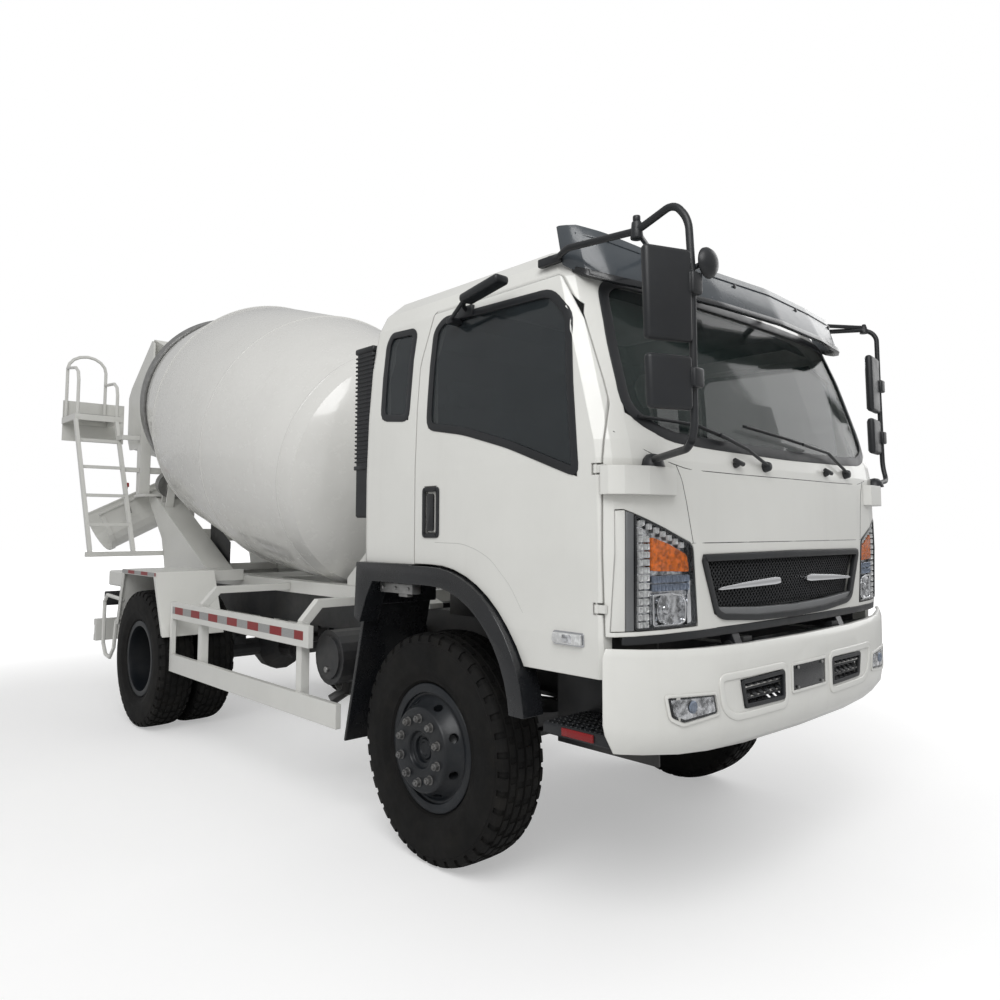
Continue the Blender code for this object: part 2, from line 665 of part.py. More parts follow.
def make_gearbox():
    """Planetary gearbox and hydraulic motor on the drum's axis."""
    loop = [(BOSS_S - GAP, 0.0), (BOSS_S - GAP, 0.190), (BOSS_S - 0.05, 0.190), (BOSS_S - 0.05, 0.162),
            (BOSS_S - 0.30, 0.155), (BOSS_S - 0.30, 0.095), (BOSS_S - 0.47, 0.085), (BOSS_S - 0.47, 0.0)]
    body = turned(loop, 20, closed=False)
    body.matrix_world = drum_matrix()
    body = bake(body)
    foot = prism([(-0.17, GEAR_SADDLE_Z + GAP), (0.17, GEAR_SADDLE_Z + GAP), (0.12, 1.80), (-0.12, 1.80)],
                 "Y", 1.15, 1.23)
    return finish(fuse("drum_gearbox", [body, foot]), "drum_gearbox", "steel", 30)


def make_rear_pedestal():
    """Two inclined box legs under the race, their cross beams, the posts and the chute's arm."""
    pieces = []
    base = SUB_TOP + GAP
    for side in (-1, 1):
        low, high = mirrored_pair(side, LEG_INNER, LEG_OUTER)
        leg = [(3.80, base), (4.88, base), (4.98, 1.45), (5.42, LEG_TOP), (5.22, LEG_TOP)]
        pieces.append(prism(leg, "X", low, high))
        low, high = mirrored_pair(side, LEG_INNER, POST_OUTER + 0.01)
        pieces.append(block((low, high), (5.14, 5.45), (LEG_TOP - 0.02, LEG_TOP + WELD)))
        low, high = mirrored_pair(side, LEG_OUTER + 0.01, POST_OUTER)
        pieces.append(block((low, high), POST_Y, (LEG_TOP, POST_TOP)))
    pieces.append(block((-LEG_INNER - 0.02, LEG_INNER + 0.02), (4.90, 5.00), (1.42, 1.54)))
    pieces.append(block((-LEG_OUTER - 0.02, LEG_OUTER + 0.02), (POST_Y[0] + 0.02, POST_Y[1]), (2.10, 2.16)))
    pieces.append(block((-LEG_INNER - 0.02, LEG_INNER + 0.02), (4.30, 4.40), (base, base + 0.06)))
    pieces.append(block((-0.05, 0.05), (4.98, CHUTE_Y), (CHUTE_BASE - 0.11, CHUTE_BASE - 0.02)))
    pieces.append(rod((0, CHUTE_Y, CHUTE_BASE - 0.14), (0, CHUTE_Y, CHUTE_BASE), 0.075, 16))
    for side in (-1, 1):
        pieces += roller_bracket(side)
    return finish(fuse("rear_pedestal", pieces), "rear_pedestal", "white")


CHUTE_BASE = 1.560


def roller_frame(side):
    """Centre of a roller and the drum's axis direction there."""
    reach = RACE_RADIUS + GAP + ROLLER_RADIUS
    s = (RACE_START + RACE_END) / 2
    centre = Vector(drum_point(s, -reach * math.cos(ROLLER_ANGLE), side * reach * math.sin(ROLLER_ANGLE)))
    axis = Vector((0.0, math.cos(DRUM_TILT), math.sin(DRUM_TILT)))
    return centre, axis


def roller_bracket(side):
    """Two ears square to the roller's axis, rooted in the leg, and the pin between them."""
    centre, axis = roller_frame(side)
    down = Vector((0.0, math.sin(DRUM_TILT), -math.cos(DRUM_TILT)))
    pieces = []
    for sign in (-1, 1):
        near = centre + axis * sign * (ROLLER_HALF + 0.006)
        far = centre + axis * sign * (ROLLER_HALF + 0.028)
        pieces.append(rod(near, far, 0.045, 12))
        outline = [(p.y, p.z) for p in (near, far, far + down * EAR_LENGTH, near + down * EAR_LENGTH)]
        pieces.append(prism(outline, "X", centre.x - 0.036, centre.x + 0.036))
    pieces.append(rod(centre - axis * (ROLLER_HALF + 0.02), centre + axis * (ROLLER_HALF + 0.02), 0.0243, 16))
    return pieces


EAR_LENGTH = 0.250


def make_roller(side, label):
    centre, axis = roller_frame(side)
    loop = [(-ROLLER_HALF, 0.025), (-ROLLER_HALF, ROLLER_RADIUS), (ROLLER_HALF, ROLLER_RADIUS),
            (ROLLER_HALF, 0.025)]
    obj = turned(loop, 24)
    obj.matrix_world = Matrix.Translation(centre) @ drum_matrix().to_3x3().to_4x4()
    return finish(bake(obj), "roller_" + label, "steel", 30)


def make_drum():
    """Welded drum: dished front, two cones, race ring and open mouth."""
    def dome(radius, depth, first, steps):
        return [(-depth * math.sqrt(max(0.0, 1 - (r / radius) ** 2)), r)
                for r in (first + (radius - first) * i / steps for i in range(steps + 1))]

    wall = DRUM_WALL
    outer = [(BOSS_S, 0.0), (BOSS_S, BOSS_RADIUS)] + dome(DOME_RADIUS, DOME_DEPTH, BOSS_RADIUS, 6)
    outer += [(BELLY_START, BELLY_RADIUS), (BELLY_END, BELLY_RADIUS - 0.003),
              (RACE_START - 0.012, RACE_RADIUS - 0.020), (RACE_START, RACE_RADIUS - 0.045),
              (RACE_START + 0.0005, RACE_RADIUS), (RACE_END, RACE_RADIUS), (RACE_END, NECK_RADIUS),
              (MOUTH_S, MOUTH_RADIUS)]
    inner = [(MOUTH_S, MOUTH_RADIUS - wall), (RACE_END, NECK_RADIUS - wall), (RACE_START, RACE_RADIUS - 0.06),
             (BELLY_END, BELLY_RADIUS - 0.003 - wall), (BELLY_START, BELLY_RADIUS - wall)]
    inner += list(reversed(dome(DOME_RADIUS - wall, DOME_DEPTH - wall, 0.0, 4)))
    obj = turned(outer + inner, DRUM_STEPS, closed=False)
    obj.matrix_world = drum_matrix()
    return finish(bake(obj), "drum", "white", 25)


def funnel(rings, wall):
    """Four-sided funnel through rings of corners, from its top to its bottom, open at both ends."""
    core = []
    for ring in rings:
        centre = sum((Vector(p) for p in ring), Vector()) / len(ring)
        core.append([Vector(p) + (centre - Vector(p)).normalized() * wall * 1.5 for p in ring])

    def beyond(ring, neighbour):
        return [p + (p - q) * 0.02 for p, q in zip(ring, neighbour)]

    core = [beyond(core[0], core[1])] + core[1:-1] + [beyond(core[-1], core[-2])]
    return cut(loft(rings), [loft(core)])


def make_hopper():
    """Feed funnel into the mouth, side plates, and the collector below the mouth."""
    throat_s, nose_s = MOUTH_S + 0.050, MOUTH_S - 0.120
    low_rho, high_rho, throat_half = 0.020, 0.330, 0.220

    def ring(s):
        return [drum_point(s, high_rho, -throat_half), drum_point(s, high_rho, throat_half),
                drum_point(s, low_rho, throat_half), drum_point(s, low_rho, -throat_half)]

    half = HOPPER_HALF
    rim = [(-half, 5.370, 3.480), (half, 5.370, 3.480), (half, 6.050, 2.980), (-half, 6.050, 2.980)]
    sill = [(-half, 5.440, 2.400), (half, 5.440, 2.400), (half, 6.000, 2.400), (-half, 6.000, 2.400)]
    out = [(a, CHUTE_Y + b, COLLECTOR_Z) for a, b in ((-0.17, -0.15), (0.17, -0.15), (0.17, 0.15), (-0.17, 0.15))]
    pieces = [funnel([rim, ring(throat_s), ring(nose_s)], 0.012), funnel([sill, out], 0.012)]
    for side in (-1, 1):
        low, high = mirrored_pair(side, half - 0.009, LEG_OUTER + 0.01 - GAP)
        plate = [(5.382, 2.381), (5.994, 2.383), (6.066, 2.500), (6.066, 2.955), (5.990, 3.046), (5.404, 3.470),
                 (5.357, 3.445), (5.357, 2.700)]
        pieces.append(prism(plate, "X", low, high))
    return finish(fuse("hopper", pieces), "hopper", "white")


HOPPER_HALF = 0.548
COLLECTOR_Z = 2.275


def make_chute_carrier():
    """Turning column with the fork that the chute tilts in."""
    pieces = [rod((0, CHUTE_Y, CHUTE_BASE + GAP), (0, CHUTE_Y, CHUTE_BASE + 0.045), 0.075, 16)]
    for side in (-1, 1):
        y = sorted((CHUTE_Y + side * 0.0205, CHUTE_Y + side * 0.045))
        pieces.append(block((-0.035, 0.035), y, (CHUTE_BASE + 0.03, CHUTE_PIN_Z + 0.01)))
        pieces.append(rod((0, y[0], CHUTE_PIN_Z), (0, y[1], CHUTE_PIN_Z), 0.035, 12))
    pieces.append(rod((0, CHUTE_Y - 0.04, CHUTE_PIN_Z), (0, CHUTE_Y + 0.04, CHUTE_PIN_Z), 0.0143, 16))
    return finish(fuse("chute_carrier", pieces), "chute_carrier", "black")


def make_chute():
    """U-shaped trough that runs down towards the truck's right, on its hinge lug."""
    half, depth = CHUTE_HALF, CHUTE_DEPTH
    outer = [(half, 0.0)] + arc((0.0, half - depth), half, half, 0, -180, 10) + [(-half, 0.0)]
    thin = half - CHUTE_WALL
    inner = [(-thin, 0.0)] + arc((0.0, half - depth), thin, thin, -180, 0, 10) + [(thin, 0.0)]
    trough = prism(outer + inner, "X", -CHUTE_BELOW, CHUTE_ABOVE)
    rims = [block((-CHUTE_BELOW, CHUTE_ABOVE), (side * half - 0.012, side * half + 0.012), (-0.012, 0.006))
            for side in (-1, 1)]
    band = prism([(half + 0.008, -0.03)] + arc((0.0, half - depth), half + 0.008, half + 0.008, 0, -180, 10)
                 + [(-half - 0.008, -0.03), (-half + 0.004, -0.03)]
                 + arc((0.0, half - depth), half - 0.004, half - 0.004, -180, 0, 10)
                 + [(half - 0.004, -0.03)], "X", -CHUTE_BELOW, -CHUTE_BELOW + 0.04)
    trough = fuse("trough", [trough] + rims + [band])
    along = Matrix.Rotation(-CHUTE_SLOPE, 4, "Y")
    pin_drop = CHUTE_DEPTH + CHUTE_LUG
    trough.matrix_world = Matrix.Translation((0, CHUTE_Y, CHUTE_PIN_Z)) @ along @ Matrix.Translation(
        (0, 0, pin_drop))
    trough = bake(trough)
    lug = prism([(-0.06, CHUTE_PIN_Z + 0.02), (-0.022, CHUTE_PIN_Z - 0.022), (0.022, CHUTE_PIN_Z - 0.022),
                 (0.05, CHUTE_PIN_Z + 0.02), (0.05, CHUTE_PIN_Z + 0.110), (-0.06, CHUTE_PIN_Z + 0.050)],
                "Y", CHUTE_Y - 0.020, CHUTE_Y + 0.020)
    lug = cut(lug, [rod((0, CHUTE_Y - 0.05, CHUTE_PIN_Z), (0, CHUTE_Y + 0.05, CHUTE_PIN_Z), 0.0150, 16)])
    return finish(fuse("chute", [trough, lug]), "chute", "white", 30)


CHUTE_BELOW = 0.860
CHUTE_ABOVE = 0.320
CHUTE_LUG = 0.064


def make_ladder():
    """Leaning ladder, platform with guard rails, and the bars that hold them."""
    (y0, z0), (y1, z1) = LADDER_FOOT, LADDER_HEAD

    def lean(z):
        return y0 + (y1 - y0) * (z - z0) / (z1 - z0)

    pieces = []
    for x in (-LADDER_OUTER, -LADDER_INNER):
        pieces.append(prism([(y0 - 0.02, z0 - 0.02), (y0 + 0.03, z0 - 0.02), (y1 + 0.03, z1 + 0.01),
                             (y1 - 0.02, z1 + 0.01)], "X", x - 0.016, x + 0.016))
    for z in (1.58, 1.86, 2.14, 2.41):
        pieces.append(block((-LADDER_OUTER, -LADDER_INNER), (lean(z) - 0.012, lean(z) + 0.018),
                            (z - 0.015, z + 0.015)))
    pieces.append(block((-LADDER_OUTER - 0.04, -LEG_OUTER - GAP), (y0 - 0.025, y0 + 0.025), (z0 - 0.045, z0)))
    deck = block(PLATFORM_X, PLATFORM_Y, PLATFORM_Z)
    hollow = block((PLATFORM_X[0] + 0.02, PLATFORM_X[1] - 0.02), (PLATFORM_Y[0] + 0.02, PLATFORM_Y[1] - 0.02),
                   (PLATFORM_Z[0] - 0.02, PLATFORM_Z[1] - 0.008))
    pieces.append(cut(deck, [hollow]))
    for z in (2.13, 2.45):
        pieces.append(block((-LADDER_INNER - 0.01, -POST_OUTER - GAP), (POST_Y[0] + 0.02, POST_Y[1] - 0.03),
                            (z - 0.022, z + 0.022)))
        far = lean(z)
        y = sorted((POST_Y[0] + 0.02, far))
        pieces.append(block((-LADDER_INNER - 0.016, -LADDER_INNER + 0.016), (y[0], y[1] + 0.02),
                            (z - 0.022, z + 0.022)))
    pieces += guard_rails()
    return finish(fuse("ladder_platform", pieces), "ladder_platform", "white")


RAIL_TUBE = 0.016


def guard_rails():
    """A tall arch across the back of the platform and a low rail along each side."""
    floor = PLATFORM_Z[1] - 0.02
    back, front = PLATFORM_Y[1] - 0.03, PLATFORM_Y[0] + 0.03
    left, right = PLATFORM_X[0] + 0.03, PLATFORM_X[1] - 0.05
    top, shoulder = 3.340, 3.190
    middle, half = (left + right) / 2, (right - left) / 2
    arch = [(left, back, floor)]
    arch += [(a, back, b) for a, b in arc((middle, shoulder), half, top - shoulder, 180, 0, 8)]
    arch.append((right, back, floor))
    pieces = [tube(arch, RAIL_TUBE, 6)]
    # Side rails: place on X, height at the back, height at the front
    for x, high, low in ((left, 3.20, 3.14), (right, 3.06, 3.02)):
        side = [(x, back, high), (x, front + 0.12, low + 0.02), (x, front + 0.03, low - 0.03),
                (x, front, low - 0.12), (x, front, floor)]
        pieces.append(tube(side, RAIL_TUBE, 6))
    return pieces


def make_rear_panel():
    """Blank white plate on the back edge of the platform."""
    y = PLATFORM_Y[1] + GAP
    obj = block(PANEL_X, (y, y + PANEL_THICK), PANEL_Z)
    return finish(obj, "rear_panel", "white")


# Guards and fenders along the sides

def make_side_guard(side, label):
    """Two rails, an end post, and two square-tube posts whose arms reach in to the subframe."""
    low, high = mirrored_pair(side, GUARD_OUTER - 0.030, GUARD_OUTER)
    end = WHEELBASE - TYRE_RADIUS - 0.033
    pieces = [block((low, high), (0.990, end), (0.882, 1.004)),
              block((low, high), (0.690, end), (0.499, 0.626)),
              block((low, high), (end - 0.040, end), (0.520, 0.980))]
    near, seat = GUARD_OUTER - 0.025, SUB_OUTER + GAP
    for y in (1.140, 2.550):
        low, high = mirrored_pair(side, near - 0.050, near)
        pieces.append(block((low, high), (y - 0.030, y + 0.030), (0.530, 1.010)))
        outline = [(near - 0.052, 0.990), (near - 0.002, 0.990), (near - 0.002, 1.020), (near - 0.105, 1.135),
                   (seat, 1.135), (seat, 1.085), (near - 0.130, 1.085), (near - 0.052, 1.000)]
        pieces.append(prism([(side * a, b) for a, b in outline], "Y", y - 0.025, y + 0.025))
    return finish(fuse("side_guard_" + label, pieces), "side_guard_" + label, "white")


GUARD_OUTER = 1.150
FENDER_OUTER = 1.200
FENDER_INNER = 0.740
FENDER_TOP = TYRE_RADIUS + 0.685


def fender_line(inset):
    """Front foot, top and rear foot of the rear fender, drawn in by inset."""
    slant, foot = inset * 1.08, 0.743 + inset * 0.3
    front, rear, top = WHEELBASE - TYRE_RADIUS, WHEELBASE + TYRE_RADIUS, FENDER_TOP - inset
    return [(front - 0.025 + slant, foot), (front + 0.185 + slant * 0.6, top),
            (rear - 0.139 - slant * 0.7, top), (rear - 0.003 - slant, foot)]


def make_rear_fender(side, label):
    """Trapezoid fender over the twin wheels, with lip, stays, lamp box and lamp hoop."""
    def strip(outer, inner):
        return fender_line(outer) + list(reversed(fender_line(inner)))

    band = prism(strip(0.0, 0.010), "X", *mirrored_pair(side, FENDER_INNER, FENDER_OUTER))
    lip = prism(strip(0.005, 0.037), "X", *mirrored_pair(side, FENDER_OUTER - 0.012, FENDER_OUTER - 0.002))
    pieces = [band, lip]
    for y in (3.36, 3.72):
        low, high = mirrored_pair(side, SUB_OUTER + GAP, FENDER_INNER + 0.10)
        pieces.append(block((low, high), (y - 0.025, y + 0.025), (1.120, 1.206)))
    low, high = mirrored_pair(side, 0.85, 1.19)
    pieces.append(block((low, high), (4.02, 4.38), (1.06, 1.185), 0.01))
    x = side * 1.175
    hoop = [(4.044, 0.955), (4.45, 0.970), (4.52, 0.91), (4.52, 0.55), (4.45, 0.465), (4.33, 0.450),
            (4.235, 0.54), (4.190, 0.770), (4.090, 0.800)]
    pieces.append(tube([(x, a, b) for a, b in hoop], RAIL_TUBE, 6))
    return finish(fuse("rear_fender_" + label, pieces), "rear_fender_" + label, "white")


def make_rear_bumper():
    """Underrun beam on two arms below the end of the rails."""
    profile = [(4.72, 0.550), (4.79, 0.550), (4.79, 0.600), (4.775, 0.610), (4.775, 0.680), (4.79, 0.690),
               (4.79, 0.740), (4.72, 0.740)]
    pieces = [prism(profile, "X", -1.180, 1.180)]
    for side in (-1, 1):
        low, high = mirrored_pair(side, 0.340, 0.420)
        pieces.append(block((low, high), (4.64, 4.73), (0.56, RAIL_BOTTOM - GAP)))
    return finish(fuse("rear_bumper", pieces), "rear_bumper", "white")


# Cab

def cab_ring(z, half, front, back):
    """Plan of the cab at one height, as one closed run of points."""
    left = [(half * share, front + behind, z) for share, behind in CAB_FRONT_CURVE]
    left += [(half, back - 0.045, z), (half - 0.014, back - 0.012, z), (half - 0.050, back, z)]
    right = [(-x, y, level) for x, y, level in reversed(left)]
    return [(0.0, front, z)] + left + [(0.0, back, z)] + right


def cab_skin(inset, plain=False):
    """The cab's outer form, drawn in on every side by inset; plain leaves out every other section."""
    rings = []
    for z, half, front, back in CAB_SECTIONS[1::2] if plain else CAB_SECTIONS:
        drop = inset if z > 2.6 else (0.0 if z < 2.5 else inset / 2)
        rings.append(cab_ring(z - drop, half - inset, front + inset, back - inset))
    return loft(rings)


def arch_curve(grow, start, end, steps):
    """Arch line over the front wheel, from its foot in front to its top."""
    return arc((ARCH_CENTRE_Y, ARCH_CENTRE_Z), ARCH_HALF_Y + grow, ARCH_HALF_Z + grow, start, end, steps)


def door_outline(grow):
    """Outline of the right door, seen from the side; grow moves its edges outwards."""
    g = grow
    foot = 180.0 - math.degrees(math.asin((DOOR_BOTTOM - g - ARCH_CENTRE_Z) / (ARCH_HALF_Z + 0.004 - g)))
    arch = [(y, max(z, DOOR_BOTTOM - g)) for y, z in arch_curve(0.004 - g, foot, 96, 8)]
    return ([(DOOR_FRONT_Y - g, DOOR_BOTTOM - g)] + arch
            + [(ARCH_CENTRE_Y + 0.02, ARCH_TOP + 0.004 - g), (DOOR_REAR_Y + g, ARCH_TOP + 0.004 - g),
               (DOOR_REAR_Y + g, 2.30), (-0.050 + g, 2.555 + g * 0.6), (-0.085 + g * 0.6, 2.583 + g),
               (-0.840 - g * 0.6, 2.583 + g), (-0.905 - g, 2.555 + g * 0.6), (-1.020 - g, 2.420),
               (-1.095 - g, 2.120), (DOOR_FRONT_Y - g, 1.925)])


def window_outline(grow):
    g = grow
    return [(-1.010 - g, 1.735 - g), (-0.620 - g * 0.3, 1.880 - g), (-0.330, 1.960 - g), (-0.075 + g, 2.005 - g),
            (-0.072 + g, 2.470), (-0.130 + g * 0.6, 2.520 + g), (-0.830 - g * 0.6, 2.500 + g),
            (-0.945 - g, 2.385)]


def quarter_outline(grow):
    g = grow
    return [(0.085 - g, 2.060 - g), (0.310 + g, 2.085 - g), (0.320 + g, 2.470), (0.290 + g, 2.520 + g),
            (0.110 - g, 2.510 + g), (0.080 - g, 2.480)]


def screen_outline(grow):
    """Windscreen seen from the front."""
    g = grow
    right = [(0.0, 1.858 - g), (0.600, 1.868 - g), (0.860, 1.880 - g), (1.035 + g, 1.975 - g * 0.5),
             (1.015 + g, 2.300), (0.975 + g, 2.500), (0.900 + g * 0.5, 2.555 + g), (0.0, 2.560 + g)]
    return right + [(-a, b) for a, b in reversed(right[1:-1])]


def lamp_outline(side, grow):
    g = grow
    return [(side * a, b) for a, b in ((0.720 - g, 1.166 - g), (1.120 + g, 1.166 - g), (1.112 + g, 1.610 + g),
                                       (1.080, 1.612 + g), (0.765 - g, 1.488 + g), (0.748 - g, 1.470))]


def grille_outline(grow):
    g = grow
    right = [(0.0, 1.174 - g), (0.560, 1.182 - g), (0.615 + g, 1.205 - g), (0.700 + g, 1.415), (0.690 + g, 1.440 + g),
             (0.0, 1.445 + g)]
    return right + [(-a, b) for a, b in reversed(right[1:-1])]


def skin_piece(outline, axis, side, outer_inset, inner_inset, reach):
    """The part of a layer of the cab's skin that lies inside an outline."""
    layer = keep(cab_skin(outer_inset), prism(outline, axis, *reach))
    return cut(layer, [cab_skin(inner_inset)])


FRONT_REACH = (-1.60, -0.70)
LAMP_REACH = (-1.60, -1.126)
LAMP_DEPTH = 0.038
GLASS_IN = 0.006
GLASS_THICK = 0.007


def side_reach(side):
    return (0.80, 1.40) if side > 0 else (-1.40, -0.80)


def make_cab():
    """Hollow cab: floor over the engine, arches, openings for doors, windows, lamps and grille."""
    far = 1.6
    bottom = [(-far, CAB_BOTTOM), (-0.72, CAB_BOTTOM), (-0.56, 1.240), (-0.42, ARCH_TOP), (far, ARCH_TOP),
              (far, 3.0), (-far, 3.0)]
    body = keep(cab_skin(0.0), prism(bottom, "X", -far, far))
    lift = FLOOR_THICK
    room_floor = [(-far, CAB_BOTTOM + lift), (-0.74, CAB_BOTTOM + lift), (-0.60, 1.240 + lift),
                  (-0.44, ARCH_TOP + lift), (far, ARCH_TOP + lift), (far, 3.0), (-far, 3.0)]
    room = keep(cab_skin(CAB_WALL, plain=True), prism(room_floor, "X", -far, far))
    cutters = [prism(screen_outline(0.0), "Y", *FRONT_REACH), room]
    for side in (-1, 1):
        reach = mirrored_pair(side, DOOR_INNER_X - SEAM, 1.40)
        cutters.append(prism(door_outline(SEAM), "X", *reach))
        reach = mirrored_pair(side, 0.98, 1.40)
        cutters.append(prism(door_outline(-0.045), "X", *reach))
        cutters.append(prism(quarter_outline(0.0), "X", *mirrored_pair(side, 0.98, 1.40)))
    body = cut(body, cutters)
    pockets = [skin_piece(grille_outline(GAP), "Y", 0, -0.03, LAMP_DEPTH + GAP, FRONT_REACH)]
    for side in (-1, 1):
        pockets.append(skin_piece(lamp_outline(side, GAP), "Y", side, -0.03, LAMP_DEPTH + GAP,
                                  (LAMP_REACH[0], LAMP_REACH[1] + GAP)))
    body = cut(body, pockets)
    pieces = [body]
    for side in (-1, 1):
        low, high = mirrored_pair(side, 0.440, 0.490)
        arm = [(TILT_Y - TILT_BOSS, TILT_Z), (TILT_Y, TILT_Z - TILT_BOSS), (TILT_Y + TILT_BOSS, TILT_Z),
               (TILT_Y + 0.060, CAB_BOTTOM + 0.02), (TILT_Y + 0.010, CAB_BOTTOM + 0.02),
               (TILT_Y - TILT_BOSS * 0.7, TILT_Z + TILT_BOSS * 0.7)]
        arm = prism(arm, "X", low, high)
        arm = cut(arm, [rod((low - 0.05, TILT_Y, TILT_Z), (high + 0.05, TILT_Y, TILT_Z), TILT_PIN + 0.0008, 16)])
        pieces.append(arm)
        # Square corner block that carries the mirror's lower foot
        corner = [(0.840, -1.180), (0.840, -1.232), (0.872, -1.262), (1.020, -1.250), (1.118, -1.212),
                  (1.156, -1.165), (1.156, -1.126), (1.060, -1.126)]
        pieces.append(prism([(side * a, b) for a, b in corner], "Z", 1.665, 1.770))
        pieces += [hinge_eye(side, z) for z in DOOR_HINGES]
    return finish(fuse("cab_shell", pieces), "cab_shell", "white", 30)


def hinge_eye(side, z):
    """Small eye on the front pillar that a door's pin turns in."""
    x, y = side * DOOR_HINGE_X, DOOR_HINGE_Y
    eye = rod((x, y, z - HINGE_HALF), (x, y, z + HINGE_HALF), 0.0095, 12)
    web = block(mirrored_pair(side, DOOR_HINGE_X - 0.0120, DOOR_HINGE_X + 0.0025),
                (DOOR_FRONT_Y - 0.018, y - 0.002), (z - HINGE_HALF + 0.001, z + HINGE_HALF - 0.001))
    return cut(fuse("eye", [eye, web]), [rod((x, y, z - 0.04), (x, y, z + 0.04), HINGE_EYE, 12)])


def make_door(side, label):
    """A whole door, skin to trim, with its window opening and handle recess."""
    door = keep(cab_skin(0.0), prism(door_outline(0.0), "X", *mirrored_pair(side, DOOR_INNER_X, 1.40)))
    cutters = [prism(window_outline(0.0), "X", *side_reach(side)),
               block(mirrored_pair(side, 1.125, 1.30), (-0.150, -0.060), (1.500, 1.735))]
    pins = []
    for z in DOOR_HINGES:
        room = HINGE_HALF + 0.0055
        cutters.append(block(mirrored_pair(side, DOOR_HINGE_X - 0.0175, 1.30),
                             (DOOR_FRONT_Y - 0.10, DOOR_HINGE_Y + 0.0155), (z - room, z + room)))
        pins.append(rod((side * DOOR_HINGE_X, DOOR_HINGE_Y, z - room - WELD),
                        (side * DOOR_HINGE_X, DOOR_HINGE_Y, z + room + WELD), HINGE_PIN, 12))
    door = cut(door, cutters)
    handle = block(mirrored_pair(side, 1.120, 1.143), (-0.135, -0.075), (1.520, 1.715), 0.005)
    return finish(fuse("door_" + label, [door, handle] + pins), "door_" + label, "white", 30)


def make_side_glass(side, label, outline, name):
    glass = skin_piece(outline(-GAP), "X", side, GLASS_IN, GLASS_IN + GLASS_THICK, side_reach(side))
    return finish(glass, name + label, "glass", 30)


def make_windscreen():
    glass = skin_piece(screen_outline(-GAP), "Y", 0, GLASS_IN, GLASS_IN + GLASS_THICK, FRONT_REACH)
    return finish(glass, "windscreen", "glass", 30)


def make_headlamp(side, label):
    lamp = skin_piece(lamp_outline(side, 0.0), "Y", side, -0.004, LAMP_DEPTH, LAMP_REACH)
    return finish(lamp, "headlamp_" + label, "lamp", 30)


def make_grille():
    """Surround with a sunk field crossed by two bars."""
    shell = skin_piece(grille_outline(0.0), "Y", 0, -0.010, LAMP_DEPTH, FRONT_REACH)
    sunk = skin_piece(grille_outline(-0.035), "Y", 0, -0.03, 0.020, FRONT_REACH)
    bars = []
    for z in (1.285, 1.345):
        outline = [(-0.620, z - 0.009), (0.620, z - 0.009), (0.620, z + 0.009), (-0.620, z + 0.009)]
        bars.append(skin_piece(outline, "Y", 0, 0.002, LAMP_DEPTH - 0.004, FRONT_REACH))
    return finish(fuse("grille", [cut(shell, [sunk])] + bars), "grille", "black", 30)


def make_visor():
    """Smoked sun visor across the top of the windscreen, on end brackets."""
    rings = []
    # Share across, lower edge height, upper edge height, how far ahead of the cab's middle front
    for x, low, high, front in ((-1.0, 2.560, 2.640, -1.060), (-0.80, 2.545, 2.655, -1.170),
                                (-0.40, 2.535, 2.660, -1.225), (0.0, 2.530, 2.662, -1.240),
                                (0.40, 2.535, 2.660, -1.225), (0.80, 2.545, 2.655, -1.170),
                                (1.0, 2.560, 2.640, -1.060)):
        rings.append([(x, front, low), (x, front + 0.012, low), (x, front + 0.092, high), (x, front + 0.080, high)])
    pieces = [loft(rings)]
    for x in (-0.70, 0.70):
        pieces.append(block((x - 0.03, x + 0.03), (-1.130, -0.880), (2.622, 2.640)))
    visor = cut(fuse("visor", pieces), [cab_skin(-GAP)])
    return finish(visor, "visor", "trim", 30)


FLARE_OUT = 1.175


def make_front_fender(side, label):
    """Black arch band round the front wheel, with the mudguard behind the wheel."""
    outer = arch_curve(-0.006, 186, 90, 14)
    inner = arch_curve(-0.006 - FLARE_BAND, 90, 184, 12)
    rear = [(0.030, ARCH_TOP - 0.006), (0.036, ARCH_TOP - GAP), (0.475, ARCH_TOP - GAP), (0.490, 1.10),
            (0.440, 1.075), (0.385, 1.20), (0.330, ARCH_TOP - 0.09)]
    band = prism(outer + rear + inner, "X", *mirrored_pair(side, 1.060, FLARE_OUT))
    guard = [(0.425, 1.362), (0.452, 1.362), (0.456, 1.196), (0.496, 1.182), (0.676, 0.440), (0.658, 0.440),
             (0.478, 1.154), (0.428, 1.158)]
    guard = prism(guard, "X", *mirrored_pair(side, 0.700, 1.110))
    return finish(fuse("front_fender_" + label, [band, guard]), "front_fender_" + label, "black", 30)


